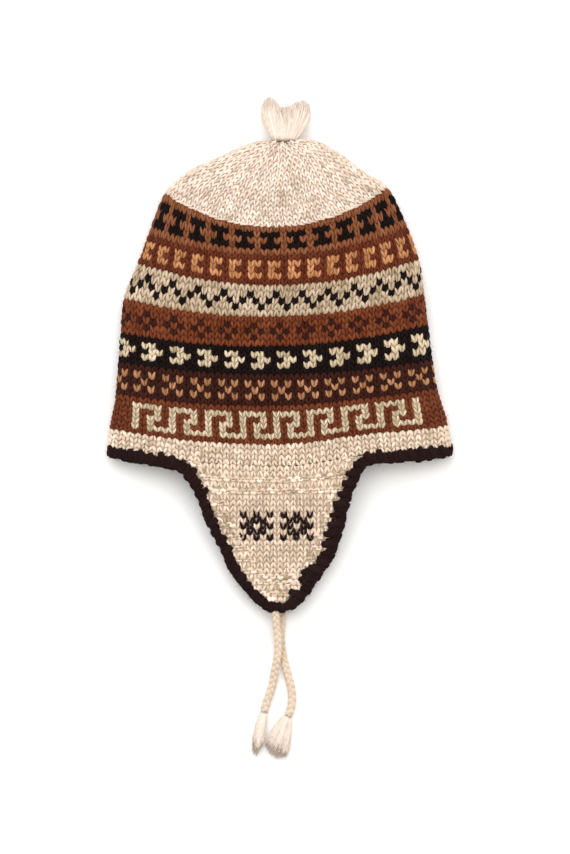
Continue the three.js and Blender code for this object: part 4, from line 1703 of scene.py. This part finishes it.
    def add_strands(
        self, draft: PieceDraft, centres: Array, overs: Array, thick: Array, size: Array,
        radius: Array | float,
    ) -> None:
        """Add crocheted strands, kept off the table by their own thickness.

        Args:
            draft: The draft to add to.
            centres: Points of their lines, by strand and then along it.
            overs: The direction off the fabric of each strand.
            thick: Thickness along a strand, as a share of the full one.
            size: Small differences in size and tone, one for each strand.
            radius: Half width of all strands, or of each.
        """
        swell = (1 + self.uneven * size)[:, None] * thick[None] * radius
        centres = centres.copy()
        centres[..., 2] = np.maximum(centres[..., 2], radius + 0.1 * MM)
        over = np.broadcast_to(overs[:, None], centres.shape)
        tones = 0.5 + 0.05 * size
        height = 0.72 * swell
        StrandForm(turns=3.0).add_to(draft, centres, over, swell, height, tones)

    def build_core(self, centre: Array, outward: Array, normal: Array) -> None:
        """Make the closed round of yarn that the stitches are worked over.

        Args:
            centre: Points of its middle line.
            outward: The directions away from the knitting.
            normal: The directions off the fabric.
        """
        sides = 10
        angle = 2 * np.pi * np.arange(sides) / sides
        ring = (centre[:, None] + outward[:, None] * (self.core * np.cos(angle))[:, None]
                + normal[:, None] * (self.core * np.sin(angle))[:, None])
        count = len(centre)
        number = np.arange(count * sides).reshape(count, sides)
        after, beside = np.roll(number, -1, axis=0), np.roll(number, -1, axis=1)
        both = np.roll(after, -1, axis=1)
        quads = np.stack([number, after, both, beside], axis=-1).reshape(-1, 4)
        row, column = np.meshgrid(np.arange(count), np.arange(sides), indexing="ij")
        # A quad's corners run along the line first, so its two coordinates are turned round
        along_first = cell_corners((row, column), (row + 1, column + 1))
        local = along_first[..., ::-1] / np.array([sides, count])
        draft = PieceDraft("edging_core")
        zeros = np.zeros(len(quads), int)
        # The core lies under the loops, and its tone of 0.35 darkens it as painted shade.
        draft.add(ring.reshape(-1, 3), np.full(count * sides, 0.35),
                  [Faces(quads, local, local * np.array([1.0, count / 2]), zeros, zeros)], 1)
        piece = draft.build([self.dresser.material(Yarn.BLACK_BROWN)])
        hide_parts("crocheted_edging")


@dataclass
class TieRoute:
    """The middle line of a tie, through the route's points.

    Args:
        route: Across, down and level of each point, the first two in millimetres.
        flap: The flap that it hangs from.
        shift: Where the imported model's origin puts the middle of the hem.
    """

    route: Array
    flap: FlapSurface
    shift: Array

    def tip(self) -> Array:
        """Find the middle of the edging at the tip of the flap."""
        down = np.ones(2)
        left, right = self.flap.reach(down)
        ends = self.flap.middle(np.array([-left[0], right[0]]), down)
        tip = ends.mean(axis=0) - np.array([0.0, SEAM_GAP + EDGING_RADIUS, 0.0])
        return np.array([tip[0], tip[1], max(tip[2], EDGING_RADIUS)])

    def points(self) -> Array:
        """Give the route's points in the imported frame."""
        tip = self.tip()
        on_table = TIE_DIAMETER / 2
        on_other = max(tip[2], on_table + TIE_DIAMETER + SEAM_GAP)
        across, down, level = self.route.T
        return self.shift + np.stack([
            tip[0] + across * MM,
            tip[1] - EDGING_RADIUS - SEAM_GAP - down * MM,
            lerp(on_table, on_other, level),
        ], axis=1)

    def fine(self, per_step: int = 8) -> Array:
        """Round the route off: a cubic between points, sloped by their neighbours."""
        points = self.points()
        places = np.arange(len(points), dtype=float)
        table = np.concatenate([places[:, None], points], axis=1)
        wanted = np.linspace(0, len(points) - 1, (len(points) - 1) * per_step + 1)
        return read_table(table, wanted)


@dataclass
class PlaitedTie:
    """A tie: three strands plaited flat along the route.

    A strand swings from side to side as the sine of its phase and passes over and under as the
    sine of twice the phase, and the three strands are a third of a turn apart.

    Args:
        route: The middle line.
        dresser: Gives the yarns' materials.
        name: Name of the piece.
        node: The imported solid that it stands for.
        crossing: Length of one full swing.
        strand: Half width of a strand.
        swing: How far a strand swings to each side.
        lift: How far it rises and sinks.
        station: Distance between two sections of a strand.
        hidden: How far inside the edging the plait starts.
        raised: How much higher than the route it starts there.
        ply_turn: Length of one turn of the plies.
    """

    route: TieRoute
    dresser: YarnDresser
    name: str
    node: str
    crossing: float = 15 * MM
    strand: float = 1.75 * MM
    swing: float = 1.5 * MM
    lift: float = 0.95 * MM
    station: float = 1.2 * MM
    hidden: float = 2.2 * MM
    raised: float = 1.2 * MM
    ply_turn: float = 4 * MM

    def build(self) -> bpy.types.Object:
        """Plait the strands.

        Returns:
            The piece.
        """
        up = np.array([0.0, 0.0, 1.0])
        fine = self.route.fine()
        root = fine[0] + unit(fine[0] - fine[1]) * self.hidden + up * self.raised
        fine = np.concatenate([root[None], fine])
        reached = along_lengths(fine)
        wanted = np.linspace(0, reached[-1], round(reached[-1] / self.station))
        middle = resample(fine, reached, wanted)
        ahead = unit(np.gradient(middle, axis=0))
        across = unit(np.cross(ahead, up))
        over = np.cross(across, ahead)
        phase = 2 * np.pi * wanted / self.crossing
        draft = PieceDraft(self.name)
        centres = []
        for strand in range(3):
            own = phase + 2 * np.pi * strand / 3
            centres.append(middle + across * (self.swing * np.sin(own))[:, None]
                           + over * (self.lift * np.sin(2 * own))[:, None])
        lines = np.stack(centres)
        size = np.full(lines.shape[:2], self.strand)
        size[:, [1, -2]] *= 0.85
        overs = np.broadcast_to(over, lines.shape)
        form = StrandForm(sides=9, turns=reached[-1] / self.ply_turn)
        form.add_to(draft, lines, overs, size, size * 0.86, np.full(3, 0.5))
        piece = draft.build([self.dresser.material(Yarn.TIE)])
        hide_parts(self.node)
        return piece


@dataclass
class Tuft:
    """A tuft of loose yarn ends fanning out of a knot.

    Each end is a thin closed strand that leaves the knot at its own lean and curves out to its
    own place on the fan's outline, all inside a flattened round section.

    Args:
        name: Name of the piece.
        node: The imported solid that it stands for.
        root: Where the tuft starts.
        ahead: The direction that it points in.
        dresser: Gives the yarns' materials.
        seed: Seed of its ends.
        length: From the root to the end of the longest strand.
        outline: Rows of lean from -1 to 1, how far the fan reaches across there as a share of
            its half width, and how long the strands are there as a share of the length.
        half_width: Half width of the fan at its widest.
        half_depth: Half thickness of the fan.
        throat: Half width at the knot.
        strands: How many ends there are.
        radius: Radius of an end.
        core: Count, radius, share of the full reach and unevenness of the strands inside.
        wave: How far an end sways.
    """

    name: str
    node: str
    root: Array
    ahead: Array
    dresser: YarnDresser
    seed: int
    length: float
    outline: Array
    half_width: float
    half_depth: float
    throat: float
    strands: int = 700
    radius: float = 0.42 * MM
    core: tuple[int, float, float, float] = (120, 1.25 * MM, 0.84, 0.6)
    wave: float = 0.5 * MM

    def build(self) -> bpy.types.Object:
        """Lay out the ends and a core that keeps light from passing between them.

        Returns:
            The piece.
        """
        random = np.random.default_rng(self.seed)
        draft = PieceDraft(self.name)
        ahead = unit(self.ahead)
        across = unit(np.cross(ahead, np.array([0.0, 0.0, 1.0])))
        over = np.cross(across, ahead)
        share = np.linspace(0, 1, 8)[None]
        spread = smooth_step(-0.25, 1.05, share)
        profile = np.array([[0, 1.0, 1.15, 1.2, 1.15, 1.0, 0.75, 0]])
        for count, radius, inner, wild in (self.core, (self.strands, self.radius, 1.0, 1.0)):
            lean = random.uniform(-1, 1, count)
            depth = random.uniform(-1, 1, count) * np.sqrt(np.maximum(1 - (0.95 * lean) ** 2, 0.05))
            reach = np.interp(lean, self.outline[:, 0], self.outline[:, 1]) * self.half_width
            long = np.interp(lean, self.outline[:, 0], self.outline[:, 2]) * self.length
            long *= inner * (1 - np.where(depth > 0, 0.1, 0.34) * depth**2)
            long *= 1 - wild * 0.24 * random.uniform(0, 1, count) ** 1.5
            phase = share * 1.4 + random.uniform(0, 1, (count, 1))
            sway = wild * self.wave * np.sin(2 * np.pi * phase) * share
            aside = lerp(lean[:, None] * self.throat, reach[:, None] * inner, spread) + sway
            fan_depth = lerp(self.throat * 0.7, self.half_depth * inner, spread)
            above = depth[:, None] * fan_depth + sway
            forward = long[:, None] * share
            centres = (self.root + ahead * forward[..., None] + across * aside[..., None]
                       + over * above[..., None])
            thick = profile * radius * random.uniform(0.75, 1.25, (count, 1))
            centres[..., 2] = np.maximum(centres[..., 2], thick + 0.1 * MM)
            overs = np.broadcast_to(over, centres.shape)
            tones = 0.56 + 0.05 * random.normal(0, 1, count)
            StrandForm(sides=5, turns=6.0).add_to(draft, centres, overs, thick, thick, tones)
        piece = draft.build([self.dresser.material(Yarn.TUFT)])
        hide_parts(self.node)
        return piece


@dataclass
class Fuzz:
    """Loose fibres that stand off the wool, each a thin bent spindle.

    Args:
        dresser: Gives the yarns' materials.
        random: Its own seeded source.
        length: Mean length of a fibre.
        radius: Radius in its middle.
        rooted: How far under the fabric's outside a fibre starts.
    """

    dresser: YarnDresser
    random: np.random.Generator
    length: float = 3.4 * MM
    radius: float = 0.07 * MM
    rooted: float = 0.8 * MM

    def grow(
        self, draft: PieceDraft, roots: Array, normals: Array, material: Numbers | int = 0
    ) -> None:
        """Grow fibres from given roots, leaning off the fabric and then bending anyhow.

        Args:
            draft: The draft to add to.
            roots: Where they start.
            normals: The directions away from the fabric there.
            material: The numbers of their materials.
        """
        count = len(roots)
        lean = unit(0.6 * normals + 0.5 * self.random.normal(0, 1, (count, 3)))
        bend = unit(lean + 0.7 * self.random.normal(0, 1, (count, 3)))
        half = self.length * self.random.uniform(0.25, 0.75, (count, 1))
        middle = roots + lean * half
        lines = np.stack([roots, middle, middle + bend * half], axis=1)
        lines[..., 2] = np.maximum(lines[..., 2], self.radius)
        thick = np.repeat(np.array([[0.0, self.radius, 0.0]]), count, axis=0)
        overs = np.broadcast_to(normals[:, None], lines.shape)
        tones = np.full(count, 0.6)
        form = StrandForm(sides=3, turns=1.0)
        form.add_to(draft, lines, overs, thick, thick, tones, material)

    def cover_body(self, surface: BodySurface, count: int) -> None:
        """Grow fibres all round the body, each in the yarn of the stitch that it leaves.

        Args:
            surface: The outside of the body.
            count: How many there would be if every course were as long as the longest.
        """
        wale = self.random.uniform(0, ROUND_WALES, count)
        course = self.random.uniform(0.1, LAST_RING - 1.5, count)
        length = np.interp(course, surface.courses, surface.round_length)
        kept = self.random.uniform(0, surface.round_length.max(), count) < length
        wale, course = wale[kept], course[kept]
        points, normals = surface.place(wale, course)
        yarns, numbers = KnittedBody.backing_yarns(LAST_RING)
        stitch = np.floor(wale - WALE_SHIFT).astype(int) % ROUND_WALES
        draft = PieceDraft("body_fuzz")
        material = numbers.reshape(-1, ROUND_WALES)[course.astype(int), stitch]
        self.grow(draft, points - normals * self.rooted, normals, material)
        draft.build([self.dresser.material(yarn) for yarn in yarns])

    def cover_flap(self, surface: FlapSurface, name: str, count: int) -> None:
        """Grow fibres over the outer face of a flap.

        Args:
            surface: The face.
            name: Name of the piece.
            count: How many there are.
        """
        down = self.random.uniform(0, 1, count)
        left, right = surface.reach(down)
        across = lerp(-left, right, self.random.uniform(0, 1, count))
        normals = surface.normal(across, down)
        middle = surface.middle(across, down) + surface.body.shift
        draft = PieceDraft(name)
        self.grow(draft, middle + normals * (WALL / 2 - self.rooted), normals)
        draft.build([self.dresser.material(Yarn.WARM_CREAM)])

    def cover_edging(self, edging: CrochetedEdging, count: int) -> None:
        """Grow fibres round the edging, from random turns about its middle line.

        Args:
            edging: The edging.
            count: How many there are.
        """
        centre, outward, normal = edging.line()
        index = self.random.integers(0, len(centre), count)
        turn = self.random.uniform(0, 2 * np.pi, (count, 1))
        away = outward[index] * np.cos(turn) + normal[index] * np.sin(turn)
        along = unit(np.roll(centre, -1, axis=0) - centre)[index]
        slide = along * self.random.uniform(0, 0.5 * edging.pitch, (count, 1))
        draft = PieceDraft("edging_fuzz")
        self.grow(draft, centre[index] + slide + away * (edging.core - 0.2 * MM), away)
        draft.build([self.dresser.material(Yarn.BLACK_BROWN)])


@dataclass
class Studio:
    """The table, the lights and the camera over the cap.

    Args:
        centre: The middle of the photograph's frame on the table.
        height: Height of the camera.
        sensor: Height of the camera's sensor, in millimetres.
    """

    centre: Array
    height: float = 5.0
    sensor: float = 36.0

    def camera(self) -> None:
        """Hang the camera over the table so that the photograph's frame fills it."""
        data = bpy.data.cameras.new("over_the_table")
        data.sensor_fit = "VERTICAL"
        data.sensor_height = self.sensor
        data.lens = self.sensor * self.height / (PHOTO_HEIGHT * METRES_PER_PIXEL)
        camera = bpy.data.objects.new("over_the_table", data)
        camera.location = (self.centre[0], self.centre[1], self.height)
        bpy.context.scene.collection.objects.link(camera)
        bpy.context.scene.camera = camera

    def table(self) -> None:
        """Lay a pale table, far wider than the frame."""
        half = 2.0
        mesh = bpy.data.meshes.new("table_top")
        corners = [(-half, -half, 0), (half, -half, 0), (half, half, 0), (-half, half, 0)]
        mesh.from_pydata(corners, [], [(0, 1, 2, 3)])
        table = bpy.data.objects.new("table_top", mesh)
        bpy.context.scene.collection.objects.link(table)
        material = bpy.data.materials.new("white_table")
        graph = NodeGraph(material)
        output = graph.add("ShaderNodeOutputMaterial")
        shader = graph.add("ShaderNodeBsdfPrincipled")
        shader.inputs["Base Color"].default_value = (0.93, 0.925, 0.915, 1)
        shader.inputs["Roughness"].default_value = 0.9
        graph.join(shader.outputs[0], output.inputs["Surface"])
        mesh.materials.append(material)

    def light(
        self, name: str, place: tuple[float, float, float], size: float, power: float,
        colour: tuple[float, float, float] = (1.0, 1.0, 1.0),
    ) -> None:
        """Hang a square soft light that faces the middle of the cap.

        Args:
            name: Its name.
            place: Where it hangs.
            size: Its side.
            power: Its power in watts.
            colour: Its colour in linear light.
        """
        data = bpy.data.lights.new(name, "AREA")
        data.size = size
        data.energy = power
        data.color = colour
        light = bpy.data.objects.new(name, data)
        light.location = place
        aim = np.array([0.0, 0.0, 0.02]) - np.array(place)
        light.rotation_euler = (math.acos(-aim[2] / np.linalg.norm(aim)), 0,
                                math.atan2(aim[1], aim[0]) - math.pi / 2)
        bpy.context.scene.collection.objects.link(light)

    def lights(self) -> None:
        """Hang the key light over the crown's left, a fill over the right, and set a pale sky."""
        self.light("key", (-0.35, 0.95, 1.5), 2.0, 32, (0.98, 1.0, 1.05))
        self.light("fill", (0.9, 0.1, 1.4), 1.6, 8)
        world = bpy.data.worlds.new("pale_room")
        world.use_nodes = True
        background = world.node_tree.nodes["Background"]
        background.inputs["Color"].default_value = (1.0, 0.962, 0.905, 1)
        background.inputs["Strength"].default_value = 0.72
        bpy.context.scene.world = world

    def develop(self) -> None:
        """Show colours as they are lit, without a film curve."""
        view = bpy.context.scene.view_settings
        view.view_transform = "Standard"
        view.look = "None"


def photo_place(pixel: tuple[float, float], shift: Array) -> Array:
    """Turn a place in the photograph into one on the table.

    Args:
        pixel: Pixels from the left and from the top.
        shift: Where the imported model's origin puts the middle of the hem.

    Returns:
        The point, at height zero.
    """
    across = (pixel[0] - PHOTO_HEM_MIDDLE[0]) * METRES_PER_PIXEL
    up = (PHOTO_HEM_MIDDLE[1] - pixel[1]) * METRES_PER_PIXEL
    return shift + np.array([across, up, 0.0])


def build_ties(dresser: YarnDresser, flaps: dict[bool, FlapSurface], shift: Array) -> None:
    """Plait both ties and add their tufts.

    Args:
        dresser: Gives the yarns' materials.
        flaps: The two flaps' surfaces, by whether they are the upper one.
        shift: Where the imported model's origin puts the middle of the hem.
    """
    narrow = np.array([[-1, -0.9, 0.72], [-0.4, -0.3, 1.0], [0.3, 0.4, 0.9], [1, 0.8, 0.62]])
    wide = np.array([[-1, -1.25, 0.86], [-0.4, -0.5, 0.95], [0.2, 0.3, 0.92], [1, 1.0, 0.78]])
    for upper, route, outline, half_width in (
        (True, UPPER_TIE_ROUTE, narrow, 5.0 * MM),
        (False, LOWER_TIE_ROUTE, wide, 8.5 * MM),
    ):
        name = "upper" if upper else "lower"
        line = TieRoute(route, flaps[upper], shift)
        tie = PlaitedTie(line, dresser, f"tie_{name}_plait", f"tie_cord_{name}").build()
        fine = line.fine()
        ahead = (fine[-1] - fine[-4]) * np.array([1.0, 1.0, 0.0])
        root = fine[-1] - unit(ahead) * 1.0 * MM
        root[2] = 3.4 * MM
        tuft = Tuft(
            name=f"tie_{name}_tuft", node=f"tie_tuft_{name}", root=root, ahead=ahead,
            dresser=dresser, seed=51 + upper, length=37 * MM, outline=outline,
            half_width=half_width, half_depth=3.4 * MM, throat=1.9 * MM, strands=600, radius=0.38 * MM,
        ).build()


def build_top_tuft(dresser: YarnDresser, body: BodySurface) -> None:
    """Fan the tuft out of the gathered top in two lobes.

    Args:
        dresser: Gives the yarns' materials.
        body: The body's surface, whose top carries it.
    """
    outline = np.array([
        [-1, -1.0, 0.70], [-0.85, -0.88, 0.92], [-0.62, -0.62, 1.0], [-0.35, -0.38, 0.94],
        [-0.12, -0.12, 0.76], [0.15, 0.18, 0.78], [0.45, 0.55, 0.90], [0.75, 0.92, 0.93],
        [0.92, 1.12, 0.82], [1, 1.15, 0.66],
    ])
    root = body.top + body.shift - np.array([0.0, 3.0 * MM, 0.0])
    Tuft(
        name="crown_tuft", node="top_tuft", root=root, ahead=np.array([0.0, 1.0, 0.0]),
        dresser=dresser, seed=41, length=37 * MM, outline=outline, half_width=18 * MM,
        half_depth=7.5 * MM, throat=7 * MM, strands=2200,
    ).build()


def main() -> None:
    """Build the camera, the ties, the body, the flaps, the edging and the tufts."""
    logging.basicConfig(level=logging.INFO, format="%(name)s %(message)s")
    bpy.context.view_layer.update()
    shift = frame_shift()
    middle = photo_place((PHOTO_WIDTH / 2, PHOTO_HEIGHT / 2), shift)
    studio = Studio(middle)
    studio.camera()
    dresser = YarnDresser()
    body = BodySurface(shift)
    flaps = {upper: FlapSurface(body, upper) for upper in (True, False)}
    build_ties(dresser, flaps, shift)
    KnittedBody(body, dresser).build()
    fuzz = Fuzz(dresser, np.random.default_rng(71))
    fuzz.cover_body(body, 9000)
    for upper, surface in flaps.items():
        name = "upper" if upper else "lower"
        EarFlap(surface, dresser, f"flap_{name}", f"ear_flap_{name}", seed=61 + upper).build()
        fuzz.cover_flap(surface, f"flap_{name}_fuzz", 1100 if upper else 400)
    edging = CrochetedEdging(body, flaps[True], flaps[False], dresser)
    edging.build()
    fuzz.cover_edging(edging, 2600)
    build_top_tuft(dresser, body)
    studio.table()
    studio.lights()
    studio.develop()
    log.info("built")


if __name__ == "__main__":
    main()
